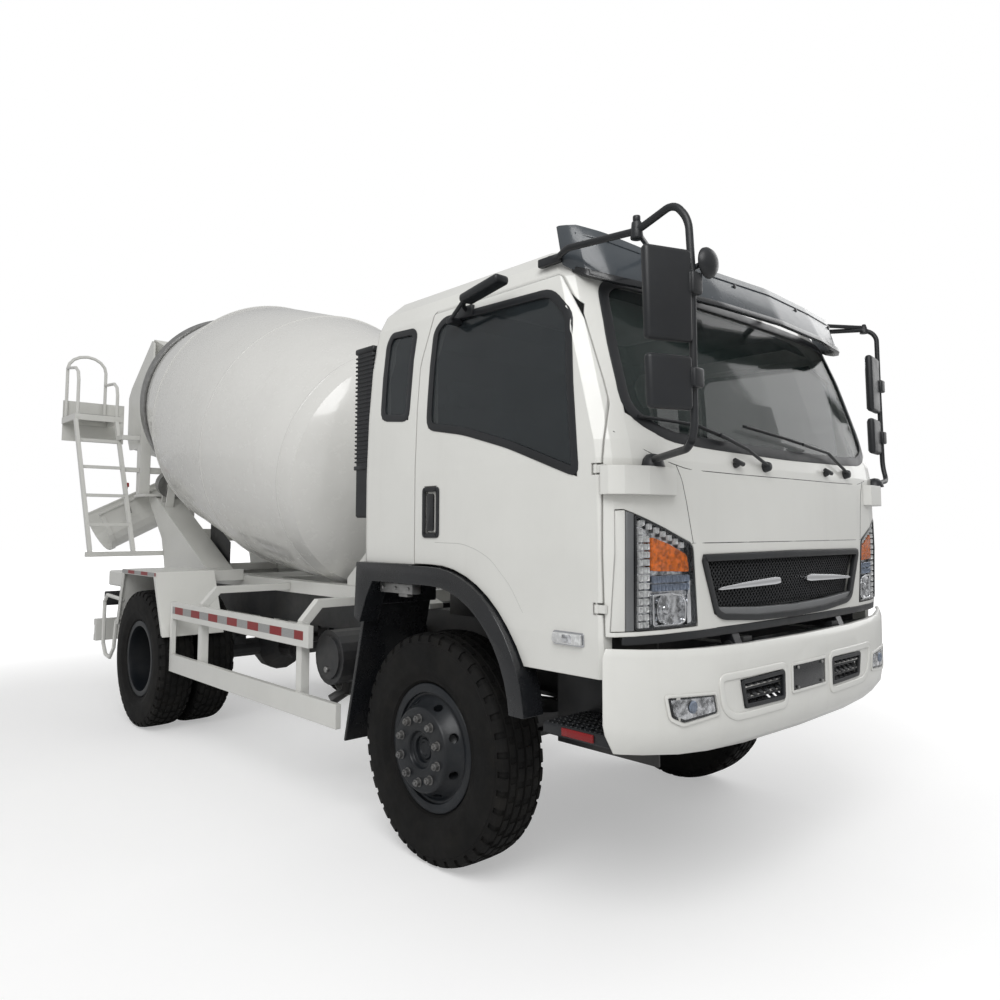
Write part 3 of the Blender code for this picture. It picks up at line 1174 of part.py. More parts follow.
def make_mirrors(side, label):
    """Mirror arm from roof bracket to cowl bracket, with its heads."""
    far_side = side < 0
    front = -1.530 if far_side else -1.130
    x = MIRROR_REACH - (0.200 if far_side else 0.016)
    foot = (1.085, -1.290) if far_side else (1.130, -1.190)
    shoulder = (1.130, front + 0.20, 2.625) if far_side else (1.220, -0.980, 2.640)
    arm = [(0.990, -0.700, 2.712), (1.060, -0.780, 2.690), shoulder, (x, front + 0.04, 2.645),
           (x, front, 2.590), (x, front, 1.870), (*foot, 1.790), (foot[0] - 0.035, foot[1] + 0.09, 1.790)]
    pieces = [tube([(side * a, b, c) for a, b, c in arm], 0.014, 6)]
    pieces.append(block(mirrored_pair(side, 0.955, 1.035), (-0.740, -0.660), (2.700, 2.722)))
    heads = (x + 0.012, MIRROR_REACH) if far_side else (x - 0.190, x - 0.018)
    depth = (front - 0.035, front + 0.035) if far_side else (front - 0.045, front + 0.012)
    low, high = mirrored_pair(side, *heads)
    pieces += [block((low, high), depth, (2.170, 2.510), 0.012), block((low, high), depth, (1.930, 2.120), 0.012)]
    for z in (2.03, 2.24, 2.44):
        near, far = (x - 0.005, x + 0.03) if far_side else (x - 0.035, MIRROR_REACH)
        pieces.append(block(mirrored_pair(side, near, far), (front - 0.020, front + 0.020), (z - 0.022, z + 0.022)))
    if side < 0:
        pieces.append(rod((-x + 0.05, front - 0.060, 2.420), (-x + 0.05, front - 0.030, 2.420), 0.060, 14))
        pieces.append(rod((-x + 0.05, front - 0.035, 2.420), (-x - 0.004, front, 2.420), 0.009, 6))
    mirrors = cut(fuse("mirrors_" + label, pieces, folded=True), [cab_skin(-GAP)])
    return finish(mirrors, "mirrors_" + label, "black", 30)


MIRROR_REACH = 1.350


def make_duct():
    """Ribbed intake duct on the cab's back wall."""
    x = (-1.010, -0.860)
    y = (0.600, 0.760)
    pieces = [block(x, y, (1.600, 2.520), 0.01)]
    for z in (1.75, 2.36):
        pieces.append(block((-0.96, -0.91), (0.460 + GAP, 0.62), (z - 0.03, z + 0.03)))
    return finish(fuse("intake_duct", pieces), "intake_duct", "black")


def make_seats():
    """Driver's and passenger's seats on one bench frame."""
    floor = ARCH_TOP + FLOOR_THICK + GAP
    pieces = [block((-0.90, 0.90), (-0.36, 0.18), (floor, floor + 0.09))]
    for x in (-0.55, 0.55):
        pieces.append(block((x - 0.26, x + 0.26), (-0.40, 0.12), (floor + 0.07, floor + 0.20), 0.03))
        back = prism([(0.06, floor + 0.12), (0.20, floor + 0.12), (0.33, floor + 0.74), (0.24, floor + 0.76)], "X",
                     x - 0.25, x + 0.25)
        head = prism([(0.26, floor + 0.72), (0.35, floor + 0.70), (0.37, floor + 0.90), (0.29, floor + 0.90)], "X",
                     x - 0.13, x + 0.13)
        pieces += [back, head]
    return finish(fuse("seats", pieces), "seats", "trim", 30)


def make_dashboard():
    """Instrument panel across the cab, with the steering column and wheel on the left."""
    floor = CAB_BOTTOM + FLOOR_THICK + GAP
    panel = [(-1.150, 1.300), (-0.930, 1.300), (-0.830, 1.560), (-0.850, 1.730), (-1.030, 1.810), (-1.150, 1.800)]
    pieces = [prism(panel, "X", -1.010, 1.010)]
    pieces.append(block((-0.20, 0.20), (-1.12, -0.92), (floor, 1.33)))
    x = 0.55
    pieces.append(rod((x, -0.98, 1.45), (x, -0.60, 1.800), 0.035, 16))
    centre = Vector((x, -0.585, 1.815))
    normal = Vector((0, 0.38, 0.35)).normalized()
    side = Vector((1, 0, 0))
    up = normal.cross(side)
    ring = [centre + (side * math.cos(t) + up * math.sin(t)) * 0.215
            for t in (math.tau * i / 16 for i in range(16))]
    pieces.append(tube(ring, 0.014, 6, closed=True))
    for t in (math.pi / 2, math.radians(210), math.radians(330)):
        pieces.append(rod(centre - normal * 0.004, centre + (side * math.cos(t) + up * math.sin(t)) * 0.213, 0.011, 6))
    pieces.append(rod(centre - normal * 0.03, centre + normal * 0.02, 0.05, 16))
    return finish(keep(fuse("dashboard", pieces), cab_skin(CAB_WALL + GAP, plain=True)), "dashboard", "trim", 30)


# Bodies and joints

def empty(name, place):
    obj = bpy.data.objects.new(name, None)
    obj.location = place
    bpy.data.collections[COLLECTION].objects.link(obj)
    return obj


def carry(parent, children):
    bpy.context.view_layer.update()
    for child in children:
        child.parent = parent
        child.matrix_parent_inverse = parent.matrix_world.inverted()


def place_over_origin(shift):
    for obj in bpy.data.objects:
        if obj.parent is None:
            obj.location.y += shift


def measure_middle():
    """Half way between the foremost and the rearmost point of all meshes."""
    bpy.context.view_layer.update()
    reach = [(obj.matrix_world @ v.co).y for obj in bpy.data.objects if obj.type == "MESH" for v in obj.data.vertices]
    return (min(reach) + max(reach)) / 2


SIDES = ((-1, "right"), (1, "left"))


def build():
    clear_scene()
    bpy.context.scene.collection.children.link(bpy.data.collections.new(COLLECTION))
    make_frame()
    make_subframe()
    make_front_axle()
    make_rear_axle()
    make_driveline()
    make_silencer()
    make_fuel_tank()
    make_bumper()
    make_front_pedestal()
    make_gearbox()
    make_rear_pedestal()
    make_hopper()
    make_ladder()
    make_rear_panel()
    make_rear_bumper()
    on_cab = [make_cab(), make_windscreen(), make_grille(), make_visor(), make_duct(), make_seats(),
              make_dashboard()]
    cab_pivot = empty("pivot_cab", (0, TILT_Y, TILT_Z))
    for side, label in SIDES:
        make_step(side, label)
        make_side_guard(side, label)
        make_rear_fender(side, label)
        on_cab += [make_headlamp(side, label), make_front_fender(side, label), make_mirrors(side, label),
                   make_side_glass(side, label, quarter_outline, "quarter_glass_")]
        hinge = empty("pivot_door_" + label, (side * DOOR_HINGE_X, DOOR_HINGE_Y, 0))
        carry(hinge, [make_door(side, label), make_side_glass(side, label, window_outline, "door_glass_")])
        on_cab.append(hinge)
        wheel = empty("pivot_wheel_front_" + label, (side * FRONT_WHEEL_X, 0, TYRE_RADIUS))
        carry(wheel, [make_tyre("tyre_front_" + label, side, FRONT_WHEEL_X, 0.0), make_front_rim(side, label)])
        steer = empty("pivot_steer_" + label, (side * KINGPIN_X, 0, TYRE_RADIUS))
        carry(steer, [make_knuckle(side, label), wheel])
        pair = empty("pivot_wheels_rear_" + label, (side * REAR_DISC_X, WHEELBASE, TYRE_RADIUS))
        carry(pair, [make_tyre("tyre_rear_outer_" + label, side, REAR_OUTER_X, WHEELBASE),
                     make_tyre("tyre_rear_inner_" + label, side, REAR_INNER_X, WHEELBASE),
                     make_rear_rims(side, label)])
        centre, _ = roller_frame(side)
        carry(empty("pivot_roller_" + label, centre), [make_roller(side, label)])
    carry(cab_pivot, on_cab)
    carry(empty("pivot_drum", drum_point(0.0)), [make_drum()])
    tilt = empty("pivot_chute_tilt", (0, CHUTE_Y, CHUTE_PIN_Z))
    carry(tilt, [make_chute()])
    carry(empty("pivot_chute_swing", (0, CHUTE_Y, CHUTE_BASE)), [make_chute_carrier(), tilt])
    place_over_origin(-measure_middle())


build()
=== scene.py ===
"""Looks of a concrete mixer truck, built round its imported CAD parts.

Lengths are in metres. X runs to the truck's left, Z up from the ground, and Y is
counted backwards from the front axle; at() adds the axle's own place to it.
"""

import logging
import math
from contextlib import contextmanager
from dataclasses import dataclass
from enum import Enum
from typing import Callable, Iterator, Sequence

import bpy
from mathutils import Matrix, Vector


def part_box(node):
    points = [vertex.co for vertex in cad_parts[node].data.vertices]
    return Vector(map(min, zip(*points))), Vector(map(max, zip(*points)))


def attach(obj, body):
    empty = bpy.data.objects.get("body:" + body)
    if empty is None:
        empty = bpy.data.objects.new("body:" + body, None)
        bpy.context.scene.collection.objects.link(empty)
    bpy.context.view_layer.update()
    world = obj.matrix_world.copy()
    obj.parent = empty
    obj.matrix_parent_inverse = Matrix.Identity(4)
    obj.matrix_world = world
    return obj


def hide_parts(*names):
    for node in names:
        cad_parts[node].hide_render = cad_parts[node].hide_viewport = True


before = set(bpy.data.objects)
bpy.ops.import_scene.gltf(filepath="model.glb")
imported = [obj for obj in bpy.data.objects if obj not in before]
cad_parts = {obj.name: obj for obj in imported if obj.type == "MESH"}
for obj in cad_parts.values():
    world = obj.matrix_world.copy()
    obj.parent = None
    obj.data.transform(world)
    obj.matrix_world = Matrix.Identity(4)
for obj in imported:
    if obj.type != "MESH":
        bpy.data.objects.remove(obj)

LOG = logging.getLogger("mixer")
Flat = tuple[float, float]
Point = tuple[float, float, float]
Colour = tuple[float, float, float]
Piece = bpy.types.Object


class Side(Enum):
    """Which side of the truck a piece is on, as the sign of X."""

    RIGHT = -1
    LEFT = 1

    @property
    def label(self) -> str:
        """Ending that the CAD nodes of this side have."""
        return self.name.lower()


def axle_place() -> float:
    """Y of the front axle in the shared frame, from the front tyre's box."""
    low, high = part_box("tyre_front_right")
    return (low.y + high.y) / 2


AXLE_Y = axle_place()


def at(x: float, y: float, z: float) -> Point:
    """Point in the shared frame from a place counted from the front axle."""
    return (x, y + AXLE_Y, z)


# Shaders


class Value:
    """One socket of a material, with arithmetic that adds Math nodes."""

    def __init__(self, page: "Page", socket: bpy.types.NodeSocket) -> None:
        """Keep the socket and the page that it is on."""
        self.page = page
        self.socket = socket

    def calc(self, operation: str, *others: "Value | float") -> "Value":
        """Apply a Math operation to this value and up to two others."""
        inputs = dict(enumerate((self, *others)))
        return self.page.node("ShaderNodeMath", {"operation": operation}, inputs)

    def __add__(self, other: "Value | float") -> "Value":
        """Sum."""
        return self.calc("ADD", other)

    __radd__ = __add__

    def __mul__(self, other: "Value | float") -> "Value":
        """Product."""
        return self.calc("MULTIPLY", other)

    __rmul__ = __mul__

    def __sub__(self, other: "Value | float") -> "Value":
        """Difference."""
        return self.calc("SUBTRACT", other)

    def __rsub__(self, other: float) -> "Value":
        """Difference from a number."""
        inputs = {0: other, 1: self}
        return self.page.node("ShaderNodeMath", {"operation": "SUBTRACT"}, inputs)

    def __truediv__(self, other: "Value | float") -> "Value":
        """Quotient."""
        return self.calc("DIVIDE", other)

    def __gt__(self, other: "Value | float") -> "Value":
        """1 where this is greater."""
        return self.calc("GREATER_THAN", other)

    def __lt__(self, other: "Value | float") -> "Value":
        """1 where this is smaller."""
        return self.calc("LESS_THAN", other)

    def step(self, low: float, high: float, start: float = 0.0, end: float = 1.0) -> "Value":
        """Map a span smoothly to another.

        Args:
            low: Value that becomes start.
            high: Value that becomes end.
            start: Result at and below low.
            end: Result at and above high.

        Returns:
            The mapped value.
        """
        settings = {"interpolation_type": "SMOOTHSTEP"}
        inputs = {0: self, 1: low, 2: high, 3: start, 4: end}
        return self.page.node("ShaderNodeMapRange", settings, inputs)


class Page:
    """A material's node tree, written as expressions."""

    def __init__(self, name: str) -> None:
        """Make an empty material of that name."""
        self.material = bpy.data.materials.new(name)
        self.material.use_nodes = True
        self.tree = self.material.node_tree
        self.tree.nodes.clear()

    def node(self, kind: str, settings: dict | None = None, inputs: dict | None = None,
             output: int | str = 0) -> Value:
        """Add a node.

        Args:
            kind: The node's type.
            settings: Its properties, with a ramp's stops under "stops".
            inputs: Values or links of its sockets, by name or number.
            output: The socket that is returned.

        Returns:
            The node's output.
        """
        made = self.tree.nodes.new(kind)
        for key, value in (settings or {}).items():
            if key == "stops":
                stops = made.color_ramp.elements
                while len(stops) < len(value):
                    stops.new(0.5)
                for stop, (place, shade) in zip(stops, value):
                    stop.position = place
                    stop.color = (*shade, 1.0) if isinstance(shade, tuple) else (shade, shade, shade, 1.0)
            else:
                setattr(made, key, value)
        for key, value in (inputs or {}).items():
            socket = made.inputs[key]
            if isinstance(value, Value):
                self.tree.links.new(value.socket, socket)
            elif isinstance(value, tuple) and len(value) == 3 and socket.type == "RGBA":
                socket.default_value = (*value, 1.0)
            else:
                socket.default_value = value
        return Value(self, made.outputs[output])

    def place(self) -> Value:
        """Object coordinates."""
        return self.node("ShaderNodeTexCoord", output="Object")

    def axis(self, letter: str) -> Value:
        """One of the object coordinates, X, Y or Z."""
        return self.node("ShaderNodeSeparateXYZ", inputs={0: self.place()}, output=letter)

    def noise(self, scale: float, detail: float = 4.0, roughness: float = 0.55,
              stretch: Point = (1.0, 1.0, 1.0), shift: float = 0.0) -> Value:
        """Noise on object coordinates.

        Args:
            scale: Waves in a metre.
            detail: Octaves.
            roughness: How strong the fine octaves are.
            stretch: Scale on each axis.
            shift: Distance by which the pattern is moved.

        Returns:
            The noise, from 0 to 1.
        """
        mapped = self.node("ShaderNodeMapping", inputs={
            "Vector": self.place(), "Scale": stretch, "Location": (shift, shift, shift)})
        return self.node("ShaderNodeTexNoise", inputs={
            "Vector": mapped, "Scale": scale, "Detail": detail, "Roughness": roughness})

    def mix(self, share: Value | float, first: Value | Colour, second: Value | Colour) -> Value:
        """Colour between two colours."""
        return self.node("ShaderNodeMix", {"data_type": "RGBA"}, {0: share, 6: first, 7: second}, 2)

    def bump(self, height: Value, distance: float, strength: float = 1.0,
             under: Value | None = None) -> Value:
        """Normal of a bumpy surface, over another normal if one is given."""
        inputs: dict = {"Height": height, "Distance": distance, "Strength": strength}
        if under is not None:
            inputs["Normal"] = under
        return self.node("ShaderNodeBump", inputs=inputs)

    def rounded(self, radius: float) -> Value:
        """Normal that rounds sharp edges by a radius."""
        return self.node("ShaderNodeBevel", {"samples": 4}, {"Radius": radius})

    def close(self, inputs: dict) -> bpy.types.Material:
        """Finish with a Principled shader that has these inputs."""
        shader = self.node("ShaderNodeBsdfPrincipled", inputs=inputs)
        self.node_output(shader)
        return self.material

    def node_output(self, shader: Value) -> None:
        """Send a shader to the material's output."""
        end = self.tree.nodes.new("ShaderNodeOutputMaterial")
        self.tree.links.new(shader.socket, end.inputs["Surface"])


@dataclass(frozen=True)
class Finish:
    """A surface with patches of tone, dust, grain and softened edges."""

    name: str
    colour: Colour
    roughness: float
    metallic: float = 0.0
    coat: float = 0.0
    tone: float = 0.06          # how far patches differ in tone
    patch: float = 2.5          # patches in a metre
    dust: float = 0.10          # share of dust, most near the ground
    dust_colour: Colour = (0.30, 0.27, 0.23)
    grain: float = 60.0         # grains in a metre
    depth: float = 0.0004       # height of the grain
    edge: float = 0.003         # radius of softened edges
    alpha: float = 1.0
    glow: float = 0.0
    shine: float = 0.5          # strength of the plain reflection

    def base(self, page: Page) -> Value:
        """Colour before dust: the paint with its patches of tone."""
        darker = tuple(c * (1 - self.tone) for c in self.colour)
        lighter = tuple(min(1.0, c * (1 + self.tone * 0.6)) for c in self.colour)
        cloud = page.noise(self.patch, 5.0, 0.6).step(0.3, 0.7)
        return page.mix(cloud, darker, lighter)

    def dusting(self, page: Page) -> Value:
        """Where dust lies: more near the ground, in clouds."""
        low = page.axis("Z").step(0.1, 1.9, 1.0, 0.25)
        cloud = page.noise(3.3, 7.0, 0.68, shift=5.0).step(0.38, 0.72)
        return cloud * low * self.dust

    def relief(self, page: Page) -> Value:
        """Normal with rounded edges and fine grain."""
        under = page.rounded(self.edge) if self.edge else None
        return page.bump(page.noise(self.grain, 3.0), self.depth, 1.0, under)

    def material(self) -> bpy.types.Material:
        """Build the material, or return it if it is there.

        Returns:
            The material.
        """
        if self.name in bpy.data.materials:
            return bpy.data.materials[self.name]
        page = Page(self.name)
        dust = self.dusting(page)
        marks = page.noise(14.0, 6.0, 0.7, shift=9.0).step(0.35, 0.75)
        rough = marks * 0.10 + dust * 0.45 + (self.roughness - 0.04)
        inputs = {
            "Base Color": page.mix(dust, self.base(page), self.dust_colour),
            "Roughness": rough,
            "Metallic": self.metallic,
            "Coat Weight": self.coat,
            "Coat Roughness": 0.06,
            "Specular IOR Level": self.shine,
            "Normal": self.relief(page),
        }
        if self.alpha < 1:
            inputs["Alpha"] = marks * 0.04 + self.alpha
        if self.glow:
            inputs["Emission Color"] = self.base(page)
            inputs["Emission Strength"] = self.glow
        return page.close(inputs)


@dataclass(frozen=True)
class Paintwork(Finish):
    """Glossy body paint with faint streaks of dirty water and painted shade in the joints."""

    def base(self, page: Page) -> Value:
        """Paint that rain streaks have greyed a little, with painted shade where parts crowd it."""
        plain = super().base(page)
        streak = page.noise(7.0, 5.0, 0.65, (1.0, 1.0, 0.10), 3.0).step(0.52, 0.80, 0.0, 0.10)
        dirty = page.mix(streak, plain, (0.52, 0.50, 0.46))
        # Painted shade: ambient occlusion darkens the paint in joints, corners and nooks, where shade falls.
        occlusion_shade = page.node("ShaderNodeAmbientOcclusion", {"samples": 4}, {"Distance": 0.05}, "AO")
        return page.mix(occlusion_shade.step(0.35, 0.95, 0.35, 0.0), dirty, (0.30, 0.29, 0.27))


@dataclass(frozen=True)
class CabPaint(Paintwork):
    """Body paint outside, dark lining on what faces the cab's room, black on the tilt arms as dark underbody paint and
    painted shade.
    """

    def base(self, page: Page) -> Value:
        """Paint outside a tapering box, lining inside it, black round the tilt arms that is partly painted shade."""
        plain = super().base(page)
        x, y, z = (page.axis(letter) for letter in "XYZ")
        rise = (z - 2.30).calc("MAXIMUM", 0.0)
        inside = 1.085 - rise * 0.35 > x.calc("ABSOLUTE")
        corner = x.calc("ABSOLUTE").calc("POWER", 8.0) * 0.04
        front = y - AXLE_Y > (z - 1.90).calc("MAXIMUM", 0.0) * 0.45 + corner - 1.18
        back = 0.420 > y - AXLE_Y
        above = z > 1.195
        below = 2.704 > z
        share = inside * front * back * above * below
        cloth = page.mix(page.noise(5.0, 3.0).step(0.3, 0.7), (0.070, 0.073, 0.078), (0.095, 0.098, 0.104))
        lined = page.mix(share, plain, cloth)
        # Black round the tilt arms below the cab's floor: partly dark underbody paint, partly painted shade for the
        # gap above the bumper.
        arms = (0.60 > x.calc("ABSOLUTE")) * (1.152 > z) * (-1.10 > y - AXLE_Y)
        return page.mix(arms, lined, (0.014, 0.015, 0.018))


@dataclass(frozen=True)
class Rubber(Finish):
    """Tyre rubber, browner on the side wall, with dust in its rings."""

    def base(self, page: Page) -> Value:
        """Black rubber with dried mud in patches."""
        plain = super().base(page)
        mud = page.noise(9.0, 8.0, 0.7, shift=2.0).step(0.45, 0.78, 0.0, 0.45)
        return page.mix(mud, plain, (0.018, 0.016, 0.013))


@dataclass(frozen=True)
class Tape(Finish):
    """Reflective tape in red and white blocks along Y."""

    block: float = 0.15

    def base(self, page: Page) -> Value:
        """Alternate blocks, with the small cells of the reflective film."""
        turn = page.axis("Y").calc("ADD", 20.0).calc("MODULO", 2 * self.block)
        red = turn > self.block
        film = page.node("ShaderNodeTexVoronoi", inputs={"Vector": page.place(), "Scale": 260.0})
        pale = page.mix(film.step(0.0, 0.7), (0.44, 0.44, 0.43), (0.30, 0.30, 0.30))
        warm = page.mix(film.step(0.0, 0.7), (0.36, 0.010, 0.012), (0.22, 0.006, 0.008))
        return page.mix(red, pale, warm)


@dataclass(frozen=True)
class Lens(Finish):
    """Moulded lamp lens with upright flutes."""

    flutes: float = 90.0

    def relief(self, page: Page) -> Value:
        """Rounded flutes across the lens."""
        wave = page.node("ShaderNodeTexWave", {"bands_direction": "X"}, {
            "Vector": page.place(), "Scale": self.flutes, "Distortion": 0.3})
        return page.bump(wave, 0.0020, 0.8)


WHITE = Paintwork("white_body_paint", (0.76, 0.76, 0.725), 0.32, coat=0.45, tone=0.022, dust=0.04,
                  grain=240.0, depth=0.00003, edge=0.006)
CAB_WHITE = CabPaint("white_cab_paint", (0.76, 0.76, 0.725), 0.32, coat=0.45, tone=0.022, dust=0.04,
                     grain=240.0, depth=0.00003, edge=0.006)
# Painted shade: this grey stands for the shade in the crease across each door.
CREASE_SHADE = Paintwork("grey_crease_paint", (0.50, 0.50, 0.48), 0.35, coat=0.3, tone=0.03, dust=0.05,
                   grain=240.0, depth=0.00003, edge=0.0)
DRUM_WHITE = Paintwork("white_drum_paint", (0.78, 0.775, 0.745), 0.25, coat=0.55, tone=0.02, dust=0.03,
                       grain=180.0, depth=0.00002, edge=0.004)
BLACK_PLASTIC = Finish("grained_black_plastic", (0.012, 0.0135, 0.016), 0.42, tone=0.25, dust=0.04,
                       grain=900.0, depth=0.00012, edge=0.005)
CHASSIS = Finish("black_chassis_paint", (0.018, 0.019, 0.021), 0.42, tone=0.30, dust=0.12, grain=180.0,
                 depth=0.0002)
RIM_PAINT = Finish("slate_rim_paint", (0.012, 0.015, 0.019), 0.38, metallic=0.15, coat=0.05, tone=0.25,
                   dust=0.05, grain=220.0, depth=0.0001, edge=0.003, shine=0.35)
RUBBER = Rubber("tyre_rubber", (0.008, 0.008, 0.008), 0.68, tone=0.25, patch=6.0, dust=0.03,
                grain=420.0, depth=0.00025, edge=0.003, shine=0.16)
STEEL = Finish("zinc_steel", (0.36, 0.36, 0.355), 0.40, metallic=1.0, tone=0.20, patch=20.0, dust=0.16,
               grain=300.0, depth=0.0001, edge=0.001)
CHROME = Finish("chrome", (0.82, 0.83, 0.85), 0.09, metallic=1.0, tone=0.05, dust=0.03, grain=60.0,
                depth=0.00002, edge=0.002)
ALLOY = Finish("brushed_tank_metal", (0.42, 0.43, 0.44), 0.36, metallic=0.9, tone=0.12, dust=0.20,
               grain=500.0, depth=0.00006, edge=0.004)
TRIM = Finish("grey_cab_trim", (0.10, 0.105, 0.11), 0.62, tone=0.12, dust=0.05, grain=700.0, depth=0.0002)
SEAT_CLOTH = Finish("seat_cloth", (0.075, 0.080, 0.090), 0.85, tone=0.2, dust=0.04, grain=1100.0,
                    depth=0.0008, edge=0.01)
SCREEN_GLASS = Finish("screen_glass", (0.030, 0.045, 0.042), 0.06, coat=0.3, tone=0.1, dust=0.05,
                      grain=2.0, depth=0.0002, edge=0.0, alpha=0.36)
SIDE_GLASS = Finish("side_glass", (0.025, 0.032, 0.036), 0.06, coat=0.3, tone=0.1, dust=0.05, grain=2.0,
                    depth=0.0002, edge=0.0, alpha=0.58)
SMOKED = Finish("smoked_visor", (0.060, 0.070, 0.080), 0.22, coat=0.2, tone=0.12, dust=0.10, grain=4.0,
                depth=0.0002, edge=0.002, alpha=0.93)
CLEAR = Lens("clear_lamp_cover", (0.30, 0.32, 0.33), 0.05, tone=0.04, dust=0.02, edge=0.0, alpha=0.03)
NUT_STEEL = Finish("dull_nut_steel", (0.20, 0.20, 0.20), 0.42, metallic=0.8, tone=0.25, patch=30.0, dust=0.20,
                   grain=300.0, depth=0.0001, edge=0.001)
RED_KNOB = Finish("red_knob", (0.45, 0.02, 0.02), 0.30, coat=0.3, tone=0.08, dust=0.06, grain=200.0,
                  depth=0.00005, edge=0.001)
AMBER = Lens("amber_lens", (0.72, 0.15, 0.004), 0.16, tone=0.55, patch=55.0, dust=0.02, edge=0.0, flutes=45.0)
RED = Lens("red_lens", (0.24, 0.006, 0.008), 0.20, tone=0.2, dust=0.08, edge=0.0, flutes=60.0)
FROST = Lens("frosted_lens", (0.74, 0.75, 0.75), 0.16, metallic=0.20, tone=0.25, patch=60.0, dust=0.04, edge=0.0)
# Painted reflection: the strong patches of tone make dark and bright spots on the chrome that stand for the
# surroundings it mirrors.
HOUSING = Finish("lamp_housing", (0.66, 0.67, 0.69), 0.16, metallic=1.0, tone=0.75, patch=34.0, dust=0.02,
                 grain=90.0, depth=0.0006, edge=0.001)
LAMP_TRIM = Finish("grey_lamp_trim", (0.16, 0.165, 0.17), 0.38, metallic=0.3, coat=0.2, tone=0.12, dust=0.06,
                   grain=400.0, depth=0.00008, edge=0.002)
GLOSS_BLACK = Finish("gloss_black_plastic", (0.012, 0.013, 0.015), 0.26, coat=0.15, tone=0.2, dust=0.03,
                     grain=300.0, depth=0.00005, edge=0.001)
SATIN = Finish("satin_silver", (0.55, 0.56, 0.58), 0.24, metallic=1.0, tone=0.10, dust=0.04, grain=200.0,
               depth=0.00004, edge=0.001)
COOL_LENS = Lens("bluish_lens", (0.26, 0.31, 0.40), 0.12, metallic=0.4, tone=0.12, dust=0.03, edge=0.0, flutes=140.0)
MIRROR = Finish("mirror_glass", (0.70, 0.72, 0.74), 0.04, metallic=1.0, tone=0.05, dust=0.05, grain=3.0,
                depth=0.00005, edge=0.0)
TAPE = Tape("red_white_tape", (0.8, 0.8, 0.8), 0.32, tone=0.03, dust=0.10, edge=0.0)


# Modelling steps, with Blender's own operators


@contextmanager
def editing(piece: Piece, kind: str = "FACE") -> Iterator[None]:
    """Edit mode on one piece alone, for vertices, edges or faces."""
    pick(piece)
    bpy.ops.object.mode_set(mode="EDIT")
    bpy.ops.mesh.select_mode(type=kind)
    yield
    bpy.ops.object.mode_set(mode="OBJECT")


def pick(*pieces: Piece) -> None:
    """Select these objects alone, the first one active."""
    bpy.ops.object.select_all(action="DESELECT")
    for piece in pieces:
        piece.select_set(True)
    bpy.context.view_layer.objects.active = pieces[0]


def select_faces(piece: Piece, test: Callable[[Vector, Vector], bool]) -> None:
    """Select the faces whose centre and normal pass a test; called in object mode."""
    mesh = piece.data
    for group in (mesh.vertices, mesh.edges, mesh.polygons):
        group.foreach_set("select", [False] * len(group))
    for face in mesh.polygons:
        face.select = test(face.center, face.normal)


def settle(piece: Piece, name: str) -> Piece:
    """Name a piece and put its place into its mesh."""
    pick(piece)
    bpy.ops.object.transform_apply(location=True, rotation=True, scale=True)
    piece.name = name
    piece.data.name = name
    return piece


def modify(piece: Piece, kind: str, **settings: object) -> None:
    """Add a modifier with these settings and apply it."""
    pick(piece)
    step = piece.modifiers.new(kind.lower(), kind)
    for key, value in settings.items():
        setattr(step, key, value)
    bpy.ops.object.modifier_apply(modifier=step.name)


def soften(piece: Piece, width: float, segments: int = 2, angle: float = 30.0) -> None:
    """Round the edges that are sharper than an angle."""
    modify(piece, "BEVEL", width=width, segments=segments, limit_method="ANGLE",
           angle_limit=math.radians(angle), use_clamp_overlap=True)


def smooth(piece: Piece, angle: float = 35.0) -> Piece:
    """Shade smooth, with edges above the angle kept sharp."""
    pick(piece)
    bpy.ops.object.shade_smooth_by_angle(angle=math.radians(angle))
    return piece


def tidy(piece: Piece, gap: float = 0.0001) -> None:
    """Merge doubles, then turn all faces outwards."""
    with editing(piece, "VERT"):
        bpy.ops.mesh.select_all(action="SELECT")
        bpy.ops.mesh.remove_doubles(threshold=gap)
        bpy.ops.mesh.normals_make_consistent(inside=False)


def trace(name: str, points: Sequence[Point], closed: bool = False) -> Piece:
    """Draw a line through points, as one vertex extruded from place to place.

    Args:
        name: The piece's name.
        points: The places, in the shared frame.
        closed: Whether the last point joins the first.

    Returns:
        The piece, made of edges.
    """
    bpy.ops.object.select_all(action="DESELECT")
    bpy.ops.mesh.primitive_plane_add(size=0.01, location=points[0])
    piece = bpy.context.object
    with editing(piece, "VERT"):
        bpy.ops.mesh.select_all(action="SELECT")
        bpy.ops.mesh.merge(type="CENTER")
        for here, there in zip(points, points[1:]):
            move = Vector(there) - Vector(here)
            bpy.ops.mesh.extrude_region_move(TRANSFORM_OT_translate={"value": move})
    piece = settle(piece, name)
    if closed:
        last = len(piece.data.vertices) - 1
        for vertex in piece.data.vertices:
            vertex.select = vertex.index in (0, last)
        with editing(piece, "VERT"):
            bpy.ops.mesh.edge_face_add()
    return piece


def turned(name: str, points: Sequence[Point], centre: Point, axis: Point, steps: int = 72) -> Piece:
    """Turn a traced profile about an axis.

    Args:
        name: The piece's name.
        points: The profile, in the shared frame.
        centre: A point on the axis.
        axis: The axis's direction.
        steps: Steps in a whole turn.

    Returns:
        The turned piece.
    """
    piece = trace(name, points)
    with editing(piece, "VERT"):
        bpy.ops.mesh.select_all(action="SELECT")
        bpy.ops.mesh.spin(steps=steps, angle=math.tau, center=centre, axis=axis)
    tidy(piece)
    return piece


def bend(piece: Piece, offset: float, segments: int = 4, ends: bool = False) -> None:
    """Round the corners of a traced line."""
    last = len(piece.data.vertices) - 1
    for vertex in piece.data.vertices:
        vertex.select = ends or vertex.index not in (0, last)
    with editing(piece, "VERT"):
        bpy.ops.mesh.bevel(affect="VERTICES", offset=offset, segments=segments)


